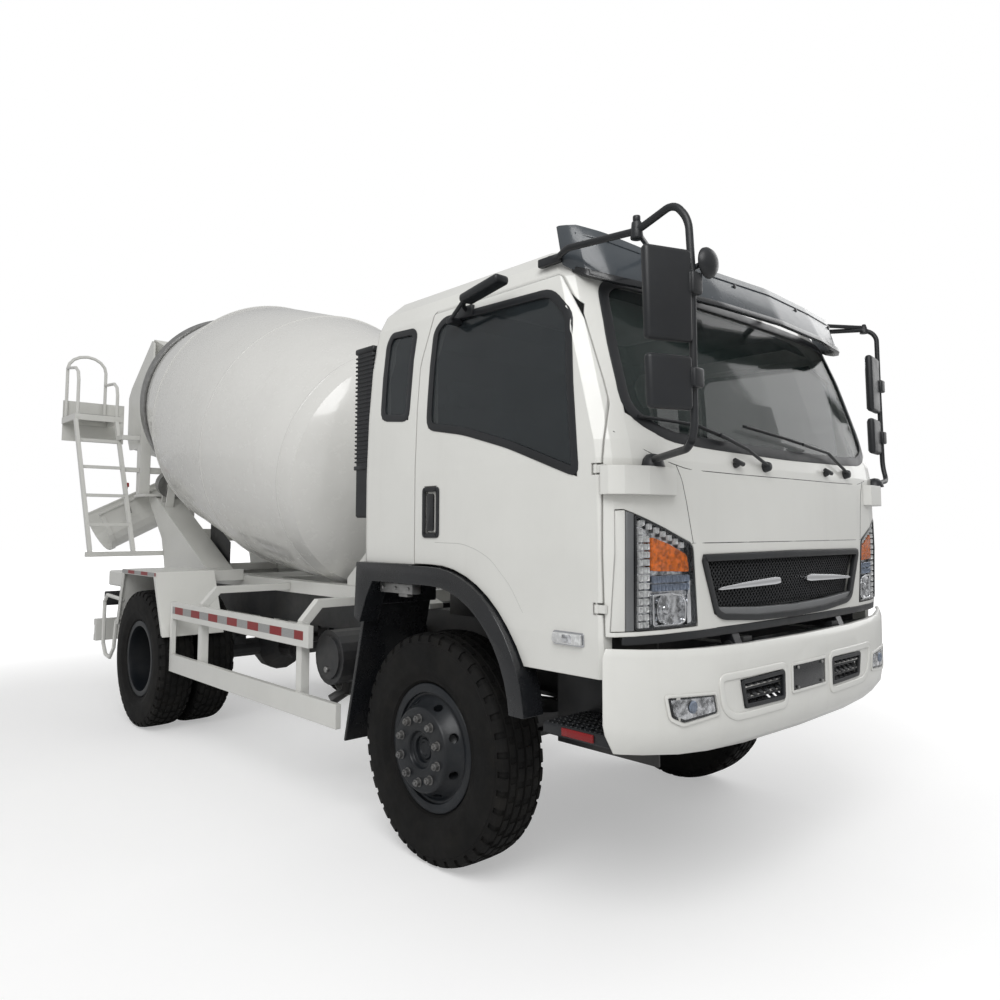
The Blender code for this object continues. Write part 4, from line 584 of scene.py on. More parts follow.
def pipe(name: str, points: Sequence[Point], radius: float, corner: float = 0.0,
         closed: bool = False, resolution: int = 3) -> Piece:
    """Round bar along points.

    Args:
        name: The piece's name.
        points: The bar's middle line.
        radius: The bar's radius.
        corner: How far from a corner its bend starts.
        closed: Whether the bar is a ring.
        resolution: Steps in a quarter of its section.

    Returns:
        The bar as a mesh.
    """
    piece = trace(name, points, closed)
    if corner:
        bend(piece, corner, 5, closed)
    pick(piece)
    bpy.ops.object.convert(target="CURVE")
    piece = bpy.context.object
    piece.data.bevel_depth = radius
    piece.data.bevel_resolution = resolution
    piece.data.use_fill_caps = not closed
    bpy.ops.object.convert(target="MESH")
    piece = bpy.context.object
    piece.name = name
    tidy(piece)
    return smooth(piece, 50.0)


def block(name: str, low: Point, high: Point, edge: float = 0.004, segments: int = 2) -> Piece:
    """Box between two corners, with rounded edges."""
    centre = [(a + b) / 2 for a, b in zip(low, high)]
    bpy.ops.object.select_all(action="DESELECT")
    bpy.ops.mesh.primitive_cube_add(size=1.0, location=centre)
    piece = bpy.context.object
    piece.scale = [abs(b - a) for a, b in zip(low, high)]
    settle(piece, name)
    soften(piece, edge, segments)
    return smooth(piece)


def rod(name: str, start: Point, end: Point, radius: float, edge: float = 0.002, sides: int = 24,
        tip: float | None = None) -> Piece:
    """Round rod between two points, with rounded rims."""
    a, b = Vector(start), Vector(end)
    bpy.ops.object.select_all(action="DESELECT")
    turn = Vector((0, 0, 1)).rotation_difference(b - a).to_euler()
    bpy.ops.mesh.primitive_cone_add(vertices=sides, radius1=radius, radius2=radius if tip is None else tip,
                                    depth=(b - a).length, location=(a + b) / 2, rotation=turn)
    piece = settle(bpy.context.object, name)
    soften(piece, edge, 2, 40.0)
    return smooth(piece)


def plate(name: str, outline: Sequence[Point], push: Point, edge: float = 0.0, corner: float = 0.0) -> Piece:
    """Flat plate with a traced outline.

    Args:
        name: The piece's name.
        outline: Its corners.
        push: Thickness, as the move that extrudes it.
        edge: Radius of its edges.
        corner: How far from a corner its rounding starts.

    Returns:
        The plate.
    """
    piece = trace(name, outline, True)
    if corner:
        bend(piece, corner, 4, True)
    with editing(piece, "VERT"):
        bpy.ops.mesh.select_all(action="SELECT")
        bpy.ops.mesh.edge_face_add()
        bpy.ops.mesh.extrude_region_move(TRANSFORM_OT_translate={"value": push})
    tidy(piece)
    if edge:
        soften(piece, edge, 2, 40.0)
    return smooth(piece)


def copies(piece: Piece, places: Sequence[Matrix], name: str) -> Piece:
    """Copy a piece to places, each copy with its own mesh, and join all as one.

    Args:
        piece: The piece that repeats; it is used up.
        places: The moves from where it is.
        name: The joined piece's name.

    Returns:
        The joined piece.
    """
    made = []
    for place in places:
        twin = piece.copy()
        twin.data = piece.data.copy()
        twin.data.transform(place)
        bpy.context.scene.collection.objects.link(twin)
        made.append(twin)
    bpy.data.objects.remove(piece)
    return join(name, made)


def join(name: str, pieces: Sequence[Piece]) -> Piece:
    """Join pieces of one finish."""
    pick(*pieces)
    if len(pieces) > 1:
        bpy.ops.object.join()
    pieces[0].name = name
    pieces[0].data.name = name
    return pieces[0]


def carve(piece: Piece, cutters: Sequence[Piece]) -> Piece:
    """Cut pieces out of another; they are used up."""
    for cutter in cutters:
        modify(piece, "BOOLEAN", operation="DIFFERENCE", object=cutter, solver="EXACT")
        bpy.data.objects.remove(cutter)
    return piece


def recut(node: str, name: str) -> Piece:
    """Copy of a CAD node's mesh with its triangles merged into flat faces."""
    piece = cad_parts[node].copy()
    piece.data = piece.data.copy()
    piece.parent = None
    bpy.context.scene.collection.objects.link(piece)
    piece.hide_render = False
    settle(piece, name)
    with editing(piece, "VERT"):
        bpy.ops.mesh.select_all(action="SELECT")
        bpy.ops.mesh.remove_doubles(threshold=0.00005)
        bpy.ops.mesh.dissolve_limited(angle_limit=math.radians(0.5))
        bpy.ops.mesh.normals_make_consistent(inside=False)
    return piece


def ring_places(centre: Point, axis: Point, count: int, first: float = 0.0) -> list[Matrix]:
    """Turns about an axis, evenly round a circle."""
    middle = Matrix.Translation(centre)
    return [middle @ Matrix.Rotation(first + math.tau * i / count, 4, axis) @ middle.inverted()
            for i in range(count)]


def dress(piece: Piece, finish: Finish, body: str, slot: str, *nodes: str) -> Piece:
    """Give a piece its finish, the body that it rides on and the nodes that it stands for.

    Args:
        piece: The piece.
        finish: Its finish.
        body: CAD body.
        slot: The record's material slot; not used.
        nodes: CAD nodes that it replaces.

    Returns:
        The piece.
    """
    piece.data.materials.clear()
    piece.data.materials.append(finish.material())
    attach(piece, body)
    if nodes:
        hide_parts(*nodes)
    LOG.info("%s: %d faces on %s", piece.name, len(piece.data.polygons), body)
    return piece


def coat_node(node: str, finish: Finish) -> None:
    """Give a CAD node a finish in place of its plain one."""
    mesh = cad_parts[node].data
    mesh.materials.clear()
    mesh.materials.append(finish.material())
    LOG.info("%s keeps its CAD shape", node)


# Sub-assemblies


@dataclass
class Wheel:
    """Tyre and rim sizes that the front and the twin rear wheels share."""

    radius: float = 0.527
    half: float = 0.1385
    steps: int = 120
    bead: float = 0.262
    flange: float = 0.293
    circle: float = 0.143
    nuts: int = 10
    groove: float = 0.009

    def tyre(self, name: str, x: float, y: float) -> Piece:
        """Turn a tyre with ribs, side-wall rings and notched shoulders.

        Args:
            name: The piece's name.
            x: Middle of its width.
            y: Its axle, from the front axle.

        Returns:
            The tyre.
        """
        r, deep = self.radius, self.radius - self.groove
        half = [(0.0, deep), (0.006, deep), (0.008, r), (0.040, r), (0.043, deep), (0.052, deep),
                (0.055, r - 0.001), (0.082, r - 0.002), (0.085, r - 0.011), (0.092, r - 0.012),
                (0.094, r - 0.004), (0.109, r - 0.007), (0.119, r - 0.014), (0.126, r - 0.040),
                (0.1275, r - 0.043), (0.1275, r - 0.049), (0.1305, r - 0.052), (0.1375, 0.420),
                (self.half, 0.395), (0.1340, 0.362), (0.1345, 0.356), (0.1270, 0.335), (0.1150, 0.312),
                (0.1150, 0.306), (0.1020, 0.2975), (0.0965, 0.290), (0.0965, self.bead)]
        run = [(-a, b) for a, b in reversed(half[1:])] + half
        centre = at(x, y, self.radius)
        points = [(centre[0] + a, centre[1], centre[2] + b) for a, b in run]
        points.append((centre[0] - 0.0965, centre[1], centre[2] + self.bead))
        piece = turned(name, points, centre, (1, 0, 0), self.steps)
        self.notch(piece, centre)
        return smooth(piece, 32.0)

    def notch(self, piece: Piece, centre: Point) -> None:
        """Press every third step of the shoulder and middle ribs inwards."""
        def across(place: Vector, low: float, high: float, phase: int) -> bool:
            """Whether a face lies in a rib between two distances and in a pressed step."""
            off = abs(place.x - centre[0])
            turn = math.atan2(place.z - centre[2], place.y - centre[1]) / math.tau * self.steps
            reach = math.hypot(place.z - centre[2], place.y - centre[1])
            return low < off < high and reach > 0.495 and (math.floor(turn + 0.001) + phase) % 3 == 0

        for low, high, phase, depth in ((0.096, 0.1262, 0, 0.008), (0.012, 0.036, 1, 0.005),
                                        (0.058, 0.080, 2, 0.005)):
            select_faces(piece, lambda c, n, a=low, b=high, p=phase: across(c, a, b, p))
            with editing(piece):
                bpy.ops.mesh.extrude_region_shrink_fatten(TRANSFORM_OT_shrink_fatten={"value": -depth})

    def rim(self, name: str, centre: Point, side: Side, profile: Sequence[Flat]) -> Piece:
        """Turn a rim from places along the axle outwards and radii."""
        points = [(centre[0] + side.value * a, centre[1], centre[2] + b) for a, b in profile]
        piece = turned(name, points + points[:1], centre, (1, 0, 0), 72)
        soften(piece, 0.004, 2, 30.0)
        return piece

    def hand_holes(self, piece: Piece, centre: Point, side: Side, start: Flat, end: Flat) -> Piece:
        """Bore round holes through the disc's slanted wall, from one place to another."""
        cutters = []
        for i in range(8):
            turn = math.tau * (i + 0.5) / 8
            ends = [(centre[0] + side.value * a, centre[1] + math.cos(turn) * r, centre[2] + math.sin(turn) * r)
                    for a, r in (start, end)]
            cutters.append(rod("hand_hole", ends[0], ends[1], 0.0215, 0.0005, 20))
        return carve(piece, cutters)

    def nut_ring(self, name: str, centre: Point, side: Side, stud: float = 0.020) -> Piece:
        """Ring of wheel nuts with their washers and studs."""
        x, y, z = centre
        out = side.value
        nut = rod("nut", (x + out * 0.002, y, z + self.circle), (x + out * 0.024, y, z + self.circle),
                  0.0175, 0.0025, 6)
        washer = rod("washer", (x, y, z + self.circle), (x + out * 0.004, y, z + self.circle), 0.021, 0.001, 20)
        tip = rod("stud", (x + out * 0.02, y, z + self.circle), (x + out * (0.022 + stud), y, z + self.circle),
                  0.0095, 0.002, 12)
        one = join("nut", [nut, washer, tip])
        return copies(one, ring_places(centre, (1, 0, 0), self.nuts), name)


@dataclass
class FrontWheel(Wheel):
    """Steered wheel with its domed-out disc."""

    x: float = 0.952

    def build(self, side: Side) -> None:
        """Build and dress one front wheel."""
        body = f"wheel_front_{side.label}"
        out = side.value
        x = out * self.x
        centre = at(x, 0.0, self.radius)
        tyre = self.tyre(f"tread_front_{side.label}", x, 0.0)
        dress(tyre, RUBBER, body, "tyre", f"tyre_front_{side.label}")
        profile = [(0.110, 0.250), (0.110, 0.286), (0.106, 0.293), (0.0975, 0.293), (0.0975, 0.260),
                   (-0.0975, 0.260), (-0.0975, 0.293), (-0.110, 0.293), (-0.110, 0.250), (0.0, 0.250),
                   (0.015, 0.205), (-0.078, 0.205), (-0.078, 0.060), (0.148, 0.060), (0.148, 0.080),
                   (0.166, 0.084), (0.170, 0.090), (0.170, 0.184), (0.165, 0.191), (0.156, 0.195),
                   (0.100, 0.225), (0.089, 0.239), (0.093, 0.250)]
        rim = self.rim(f"rim_{body}", centre, side, profile)
        rim = self.hand_holes(rim, centre, side, (0.1015, 0.168), (0.1485, 0.256))
        dress(smooth(rim, 30.0), RIM_PAINT, body, "rim_paint", f"rim_front_{side.label}")
        face = (centre[0] + out * 0.170, centre[1], centre[2])
        dress(self.nut_ring(f"nuts_{body}", face, side, 0.009), NUT_STEEL, body, "steel")
        cap = [(face[0] + out * a, face[1], face[2] + b) for a, b in (
            (-0.060, 0.0598), (-0.036, 0.0598), (-0.038, 0.050), (-0.030, 0.044), (-0.028, 0.034),
            (-0.034, 0.028), (-0.034, 0.0))]
        hub = turned(f"hub_cap_{body}", cap, face, (1, 0, 0), 40)
        dress(smooth(hub), RIM_PAINT, body, "rim_paint")


@dataclass
class TwinWheels(Wheel):
    """Driven pair of wheels on one hub."""

    inner: float = 0.756
    outer: float = 1.066
    axle: float = 3.60

    def build(self, side: Side) -> None:
        """Build and dress the two rear wheels of one side."""
        body = f"wheels_rear_{side.label}"
        out = side.value
        for place, x in (("outer", self.outer), ("inner", self.inner)):
            tyre = self.tyre(f"tread_rear_{place}_{side.label}", out * x, self.axle)
            dress(tyre, RUBBER, body, "tyre", f"tyre_rear_{place}_{side.label}")
        centre = at(out * (self.inner + self.outer) / 2, self.axle, self.radius)
        pair = (self.outer - self.inner) / 2

        def barrel(middle: float) -> list[Flat]:
            """Outside of one rim, from its outer flange inwards."""
            return [(middle + a, b) for a, b in (
                (0.110, 0.250), (0.110, 0.286), (0.106, 0.293), (0.0975, 0.293), (0.0975, 0.260),
                (-0.0975, 0.260), (-0.0975, 0.293), (-0.110, 0.293), (-0.110, 0.250))]

        profile = barrel(pair) + [(0.0, 0.215)] + barrel(-pair) + [
            (0.095 - pair, 0.250), (-0.022, 0.205), (-0.240, 0.205), (-0.240, 0.060), (0.135, 0.060),
            (0.135, 0.100), (0.128, 0.106), (0.022, 0.118), (0.022, 0.190), (0.035, 0.214),
            (pair - 0.095, 0.250), (pair + 0.075, 0.252)]
        rims = self.rim(f"rims_{body}", centre, side, profile)
        dress(smooth(rims, 30.0), RIM_PAINT, body, "rim_paint", f"rims_rear_{side.label}")
        face = (centre[0] + out * 0.022, centre[1], centre[2])
        dress(self.nut_ring(f"nuts_{body}", face, side, 0.026), NUT_STEEL, body, "steel")
        end = (centre[0] + out * 0.135, centre[1], centre[2])
        cap = [(end[0] + out * a, end[1], end[2] + b) for a, b in (
            (-0.030, 0.0598), (0.000, 0.0598), (0.000, 0.090), (0.006, 0.090), (0.009, 0.086),
            (0.009, 0.045), (0.016, 0.040), (0.018, 0.020), (0.018, 0.0))]
        dress(smooth(turned(f"hub_cap_{body}", cap, end, (1, 0, 0), 40)), RIM_PAINT, body, "rim_paint")
        bolt = rod("bolt", (end[0] + out * 0.009, end[1], end[2] + 0.068),
                   (end[0] + out * 0.017, end[1], end[2] + 0.068), 0.008, 0.001, 6)
        bolts = copies(bolt, ring_places(end, (1, 0, 0), 8), f"hub_bolts_{body}")
        dress(bolts, STEEL, body, "steel")


@dataclass
class Drum:
    """Mixing drum on its tilted axis."""

    y: float = 1.901
    z: float = 1.969
    tilt: float = math.radians(16.08)
    steps: int = 144

    def point(self, s: float, rho: float = 0.0) -> Point:
        """Place at s along the axis and rho above it."""
        return at(0.0, self.y + s * math.cos(self.tilt) - rho * math.sin(self.tilt),
                  self.z + s * math.sin(self.tilt) + rho * math.cos(self.tilt))

    def axis(self) -> Point:
        """Direction of the drum's axis, backwards and up."""
        return (0.0, math.cos(self.tilt), math.sin(self.tilt))

    def turn(self, name: str, profile: Sequence[Flat], steps: int | None = None) -> Piece:
        """Turn a profile of (along, radius) about the drum's axis."""
        points = [self.point(s, r) for s, r in profile]
        return turned(name, points, self.point(0.0), self.axis(), steps or self.steps)

    def build(self) -> None:
        """Build the drum's shell, weld beads, race and boss."""
        dome = [(-0.350 * math.sqrt(max(0.0, 1 - (r / 0.893) ** 2)), r)
                for r in (0.20 + (0.893 - 0.20) * i / 14 for i in range(15))]
        shell = [(-0.410, 0.0), (-0.410, 0.196), (-0.406, 0.200)] + dome
        shell += [(0.937, 1.057), (2.000, 1.054), (2.893, 0.830), (2.905, 0.805)]
        shell += [(3.020, 0.805), (3.020, 0.800), (3.600, 0.480), (3.620, 0.470), (3.620, 0.456),
                  (3.020, 0.786), (2.905, 0.790), (2.000, 1.040), (0.937, 1.043), (0.0, 0.879), (-0.30, 0.45),
                  (-0.336, 0.0)]
        piece = self.turn("drum_shell", shell)
        dress(smooth(piece, 24.0), DRUM_WHITE, "drum", "white_paint", "drum")
        race = [(2.905, 0.800), (2.905, 0.846), (2.909, 0.850), (3.016, 0.850), (3.020, 0.846), (3.020, 0.800),
                (2.905, 0.800)]
        dress(smooth(self.turn("drum_race", race)), STEEL, "drum", "steel")
        self.beads()
        self.mouth_ring()
        self.boss_bolts()

    def beads(self) -> None:
        """Weld beads round the shell, where its plates meet."""
        beads = []
        for s, r in ((0.004, 0.8932), (0.937, 1.0572), (2.000, 1.0542)):
            bead = [(s - 0.009, r - 0.004), (s - 0.004, r + 0.0035), (s + 0.004, r + 0.0035),
                    (s + 0.009, r - 0.004), (s - 0.009, r - 0.004)]
            beads.append(self.turn("bead", bead))
        dress(smooth(join("drum_beads", beads), 60.0), DRUM_WHITE, "drum", "white_paint")

    def mouth_ring(self) -> None:
        """Rolled ring that stiffens the mouth."""
        ring = [(3.600 + 0.012 * math.cos(a), 0.478 + 0.012 * math.sin(a))
                for a in (math.tau * i / 8 for i in range(9))]
        dress(smooth(self.turn("drum_mouth_ring", ring, 96), 60.0), DRUM_WHITE, "drum", "white_paint")

    def boss_bolts(self) -> None:
        """Bolts that hold the drum's front boss to the gearbox."""
        a, b = self.point(-0.399, 0.165), self.point(-0.416, 0.165)
        bolt = rod("bolt", a, b, 0.012, 0.0015, 6)
        dress(copies(bolt, ring_places(self.point(0.0), self.axis(), 16), "drum_boss_bolts"), STEEL, "drum",
              "steel")


@dataclass
class Skin:
    """The cab's outer form: half width and front at each height, and its plan's corner."""

    levels: Sequence[tuple[float, float, float]] = (
        (0.995, 1.135, -1.255), (1.140, 1.145, -1.262), (1.450, 1.150, -1.270), (1.800, 1.150, -1.262),
        (1.870, 1.148, -1.250), (2.100, 1.140, -1.185), (2.350, 1.120, -1.105), (2.550, 1.090, -1.030),
        (2.640, 1.050, -0.970), (2.710, 0.980, -0.880), (2.745, 0.850, -0.740), (2.760, 0.600, -0.500))
    plan: Sequence[Flat] = ((0.0, 0.0), (0.33, 0.005), (0.62, 0.018), (0.80, 0.042), (0.91, 0.075),
                            (0.97, 0.110), (1.0, 0.160))

    @staticmethod
    def between(table: Sequence[tuple[float, ...]], key: float, column: int) -> float:
        """Read a column of a table at a key between its rows."""
        for low, high in zip(table, table[1:]):
            if key <= high[0]:
                share = max(0.0, (key - low[0]) / (high[0] - low[0]))
                return low[column] + (high[column] - low[column]) * share
        return table[-1][column]

    def half(self, z: float) -> float:
        """Half width at a height."""
        return self.between(self.levels, z, 1)

    def side(self, side: Side, y: float, z: float, lift: float = 0.0) -> Point:
        """Point on the cab's side, lifted off the skin."""
        half = self.half(z)
        back = y - self.between(self.levels, z, 2)
        share = 1.0
        if back < self.plan[-1][1]:
            share = self.between([(b, a) for a, b in self.plan], max(back, 0.0), 1)
        return at(side.value * (half * share + lift), y, z)

    def flank(self, side: Side) -> Callable[[float, float, float], Point]:
        """The placing of flat points on one side of the cab."""
        return lambda y, z, lift: self.side(side, y, z, lift)

    def front(self, x: float, z: float, lift: float = 0.0) -> Point:
        """Point on the cab's front, lifted off the skin."""
        share = min(1.0, abs(x) / self.half(z))
        return at(x, self.between(self.levels, z, 2) + self.between(self.plan, share, 1) - lift, z)


def lay(piece: Piece, place: Callable[[Vector], Point]) -> Piece:
    """Move each vertex of a flat piece to its place on a curved skin."""
    for vertex in piece.data.vertices:
        vertex.co = place(vertex.co)
    return piece


def rounded(outline: Sequence[Flat], corner: float) -> list[Flat]:
    """Outline with its corners rounded and its long sides divided."""
    points: list[Flat] = []
    count = len(outline)
    for i, here in enumerate(outline):
        here_v, before, after = Vector(here), Vector(outline[i - 1]), Vector(outline[(i + 1) % count])
        a, b = before - here_v, after - here_v
        reach = min(corner, a.length * 0.45, b.length * 0.45)
        start, end = here_v + a.normalized() * reach, here_v + b.normalized() * reach
        for step in range(5):
            t = step / 4
            spot = start * (1 - t) ** 2 + here_v * 2 * t * (1 - t) + end * t ** 2
            points.append((spot.x, spot.y))
        following = Vector(outline[(i + 1) % count])
        gap = (following - end).length - corner
        for step in range(1, max(1, int(gap / 0.08))):
            spot = end + (following - end) * (step * 0.08 / (following - end).length)
            points.append((spot.x, spot.y))
    return points


SKIN = Skin()


Place = Callable[[float, float, float], Point]


def panel(name: str, outline: Sequence[Flat], place: Place, outer: float, inner: float, corner: float = 0.0,
          edge: float = 0.0, step: float = 0.06) -> Piece:
    """Plate over a flat outline, cut into strips and laid on a curved skin.

    Args:
        name: The piece's name.
        outline: Its corners, as (across, height).
        place: Where a flat point and its lift lie.
        outer: Lift of the outer face.
        inner: Lift of the inner face.
        corner: How far from a corner its rounding starts.
        edge: Radius of its edges.
        step: Width of the strips.

    Returns:
        The plate.
    """
    flat = rounded(outline, corner) if corner else list(outline)
    piece = trace(name, [(a, 0.0, b) for a, b in flat], True)
    low, high = min(a for a, _ in flat), max(a for a, _ in flat)
    with editing(piece, "VERT"):
        bpy.ops.mesh.select_all(action="SELECT")
        bpy.ops.mesh.edge_face_add()
        for i in range(1, math.ceil((high - low) / step)):
            bpy.ops.mesh.select_all(action="SELECT")
            bpy.ops.mesh.bisect(plane_co=(low + i * step, 0.0, 0.0), plane_no=(1.0, 0.0, 0.0))
        bpy.ops.mesh.select_all(action="SELECT")
        bpy.ops.mesh.extrude_region_move(TRANSFORM_OT_translate={"value": (0.0, outer - inner, 0.0)})
    lay(piece, lambda v: place(v.x, v.z, outer - v.y))
    tidy(piece)
    if edge:
        soften(piece, edge, 2, 40.0)
    return smooth(piece)


def band(name: str, outline: Sequence[Flat], width: float, corner: float, place: Place, lift: float,
         thick: float, edge: float = 0.0015) -> Piece:
    """Band of even width inside an outline, laid on a curved skin.

    Args:
        name: The piece's name.
        outline: The band's outer edge, as (across, height).
        width: Its width.
        corner: How far from a corner its rounding starts.
        place: Where a flat point and its lift lie.
        lift: Lift of the middle of its thickness.
        thick: Its thickness.
        edge: Radius of its edges.

    Returns:
        The band.
    """
    piece = trace(name, [(a, 0.0, b) for a, b in rounded(outline, corner)], True)
    with editing(piece, "VERT"):
        bpy.ops.mesh.select_all(action="SELECT")
        bpy.ops.mesh.edge_face_add()
    with editing(piece, "FACE"):
        bpy.ops.mesh.select_all(action="SELECT")
        bpy.ops.mesh.inset(thickness=width)
        bpy.ops.mesh.delete(type="FACE")
    lay(piece, lambda v: place(v.x, v.z, lift))
    tidy(piece)
    modify(piece, "SOLIDIFY", thickness=thick, offset=0.0)
    soften(piece, edge, 2, 50.0)
    return smooth(piece, 50.0)


def mirrored(side: Side, outline: Sequence[Flat]) -> list[Flat]:
    """Outline of one side of the truck, from its distances off the middle."""
    return [(side.value * a, b) for a, b in outline]


def seam(name: str, line: Sequence[Flat], place: Place, radius: float = 0.0022, corner: float = 0.0) -> Piece:
    """Fine dark line along a joint of the skin."""
    points: list[Point] = []
    for (a, b), (c, d) in zip(line, line[1:]):
        count = max(1, round(math.hypot(c - a, d - b) / 0.08))
        points += [place(a + (c - a) * i / count, b + (d - b) * i / count, -radius * 0.55) for i in range(count)]
    points.append(place(*line[-1], -radius * 0.55))
    return pipe(name, points, radius, corner, resolution=1)


def spread(piece: Piece, spots: Sequence[Point], name: str) -> Piece:
    """Copy a piece that was made at the first spot to all the spots."""
    start = Vector(spots[0])
    return copies(piece, [Matrix.Translation(Vector(spot) - start) for spot in spots], name)


@dataclass
class Glazing:
    """Rubber seals and the dark borders of the cab's glass."""

    window: Sequence[Flat] = ((-1.022, 1.727), (-0.620, 1.872), (-0.330, 1.952), (-0.063, 1.997),
                              (-0.062, 2.475), (-0.125, 2.530), (-0.835, 2.510), (-0.955, 2.390))
    quarter: Sequence[Flat] = ((0.076, 2.050), (0.320, 2.076), (0.330, 2.475), (0.296, 2.530), (0.105, 2.520),
                               (0.071, 2.486))
    screen: Sequence[Flat] = ((-1.047, 1.970), (-0.868, 1.871), (-0.600, 1.858), (0.0, 1.848), (0.600, 1.858),
                              (0.868, 1.871), (1.047, 1.970), (1.027, 2.300), (0.987, 2.505), (0.905, 2.567),
                              (0.0, 2.572), (-0.905, 2.567), (-0.987, 2.505), (-1.027, 2.300))
    border: float = 0.034

    def build(self) -> None:
        """Build the seals of the windscreen, the doors and the quarter windows."""
        screen = band("screen_seal", self.screen, 0.045, 0.10, SKIN.front, -0.002, 0.009)
        dress(screen, BLACK_PLASTIC, "cab", "black_plastic")
        for side in Side:
            for name, outline, body in (("door", self.window, f"door_{side.label}"),
                                        ("quarter", self.quarter, "cab")):
                seal = band(f"{name}_seal_{side.label}", outline, self.border, 0.06, SKIN.flank(side), -0.0015,
                            0.009)
                dress(seal, BLACK_PLASTIC, body, "black_plastic")


@dataclass
class Headlamp:
    """Lamp unit at the corner of the cab, under one clear cover."""

    tray: Sequence[Flat] = ((0.722, 1.168), (1.118, 1.168), (1.110, 1.606), (1.080, 1.609), (0.767, 1.487),
                            (0.751, 1.470))
    cover: Sequence[Flat] = ((0.724, 1.170), (1.041, 1.170), (1.041, 1.596), (0.995, 1.580), (0.881, 1.534),
                             (0.769, 1.486), (0.752, 1.468))
    amber: Sequence[Flat] = ((0.961, 1.510), (0.874, 1.482), (0.780, 1.442), (0.764, 1.376), (0.961, 1.384))
    bowl: Sequence[Flat] = ((0.863, 1.301), (0.792, 1.290), (0.776, 1.259), (0.778, 1.190), (0.806, 1.176),
                            (0.950, 1.176), (0.954, 1.298))
    cell: float = 0.0287

    def build(self, side: Side) -> None:
        """Build and dress one headlamp."""
        end = side.label
        tray = panel(f"lamp_tray_{end}", mirrored(side, self.tray), SKIN.front, -0.028, -0.0375)
        dress(tray, HOUSING, "cab", "lamp_lens", f"headlamp_{end}")
        corner = [(1.074, 1.168), (1.118, 1.168), (1.110, 1.606), (1.080, 1.609), (1.074, 1.607)]
        filler = panel(f"lamp_corner_{end}", mirrored(side, corner), SKIN.front, 0.0, -0.030, edge=0.003)
        dress(filler, WHITE, "cab", "white_paint")
        strip = [(1.044, 1.168), (1.072, 1.168), (1.072, 1.606), (1.044, 1.596)]
        strip = panel(f"lamp_strip_{end}", mirrored(side, strip), SKIN.front, 0.002, -0.030, edge=0.004)
        dress(strip, LAMP_TRIM, "cab", "grey_trim")
        rim = band(f"lamp_bezel_{end}", mirrored(side, self.cover), 0.008, 0.02, SKIN.front, -0.010, 0.026)
        dress(rim, GLOSS_BLACK, "cab", "black_plastic")
        self.cells(side)
        lens = panel(f"lamp_amber_{end}", mirrored(side, self.amber), SKIN.front, -0.006, -0.022, 0.012, 0.004)
        dress(lens, AMBER, "cab", "lamp_lens")
        self.reflector(side)
        cover = panel(f"lamp_cover_{end}", mirrored(side, self.cover), SKIN.front, 0.0036, 0.0012, 0.02, 0.001)
        dress(cover, CLEAR, "cab", "lamp_lens")

    def cells(self, side: Side) -> None:
        """Two columns and a slanting row of light cells, and two rows of light bars."""
        end = side.label
        spots = [SKIN.front(side.value * x, 1.186 + self.cell * i, -0.012)
                 for x, count in ((1.0095, 14), (0.9810, 12)) for i in range(count)]
        spots += [SKIN.front(side.value * (1.000 - 0.0325 * i), 1.562 - 0.0140 * i, -0.012) for i in range(7)]
        cells = spread(self.cell_block(spots[0], (0.0215, 0.016, 0.0225)), spots, f"lamp_cells_{end}")
        dress(cells, FROST, "cab", "lamp_lens")
        spots = [SKIN.front(side.value * (0.768 + 0.0195 * i), z, -0.014)
                 for z in (1.3515, 1.3205) for i in range(10)]
        bars = spread(self.cell_block(spots[0], (0.0175, 0.014, 0.026)), spots, f"lamp_bars_{end}")
        dress(bars, COOL_LENS, "cab", "lamp_lens")

    def cell_block(self, spot: Point, size: Point) -> Piece:
        """One cell: a small block with a raised, faceted face."""
        piece = block("cell", [a - b / 2 for a, b in zip(spot, size)], [a + b / 2 for a, b in zip(spot, size)],
                      0.0018, 1)
        select_faces(piece, lambda c, n: n.y < -0.9)
        with editing(piece):
            bpy.ops.mesh.inset(thickness=0.003)
            bpy.ops.transform.translate(value=(0.0, 0.005, 0.0))
        return piece

    def reflector(self, side: Side) -> None:
        """Chromed bowl with its bulb lens, in an eight-sided frame."""
        end = side.label
        outline = mirrored(side, self.bowl)
        frame_ring = band(f"lamp_bowl_frame_{end}", outline, 0.007, 0.012, SKIN.front, -0.016, 0.018)
        dress(frame_ring, CHROME, "cab", "steel")
        back = panel(f"lamp_bowl_back_{end}", outline, SKIN.front, -0.022, -0.027, 0.012)
        dress(back, HOUSING, "cab", "steel")
        centre = SKIN.front(side.value * 0.872, 1.238, -0.018)
        run = [(0.064, 0.000), (0.060, -0.003), (0.052, 0.004), (0.036, 0.008), (0.022, 0.0095), (0.022, 0.009)]
        run += [(0.021, 0.002), (0.016, -0.003), (0.008, -0.0055), (0.0, -0.006)]
        bowl = turned(f"lamp_bowl_{end}", [(centre[0], centre[1] + b, centre[2] + a) for a, b in run], centre,
                      (0, 1, 0), 40)
        dress(smooth(bowl, 50.0), HOUSING, "cab", "steel")
        strip = [(0.732, 1.176), (0.768, 1.176), (0.768, 1.286), (0.758, 1.345), (0.741, 1.345)]
        strip = panel(f"lamp_inner_strip_{end}", mirrored(side, strip), SKIN.front, -0.010, -0.028, 0.006, 0.003)
        dress(strip, CHROME, "cab", "steel")


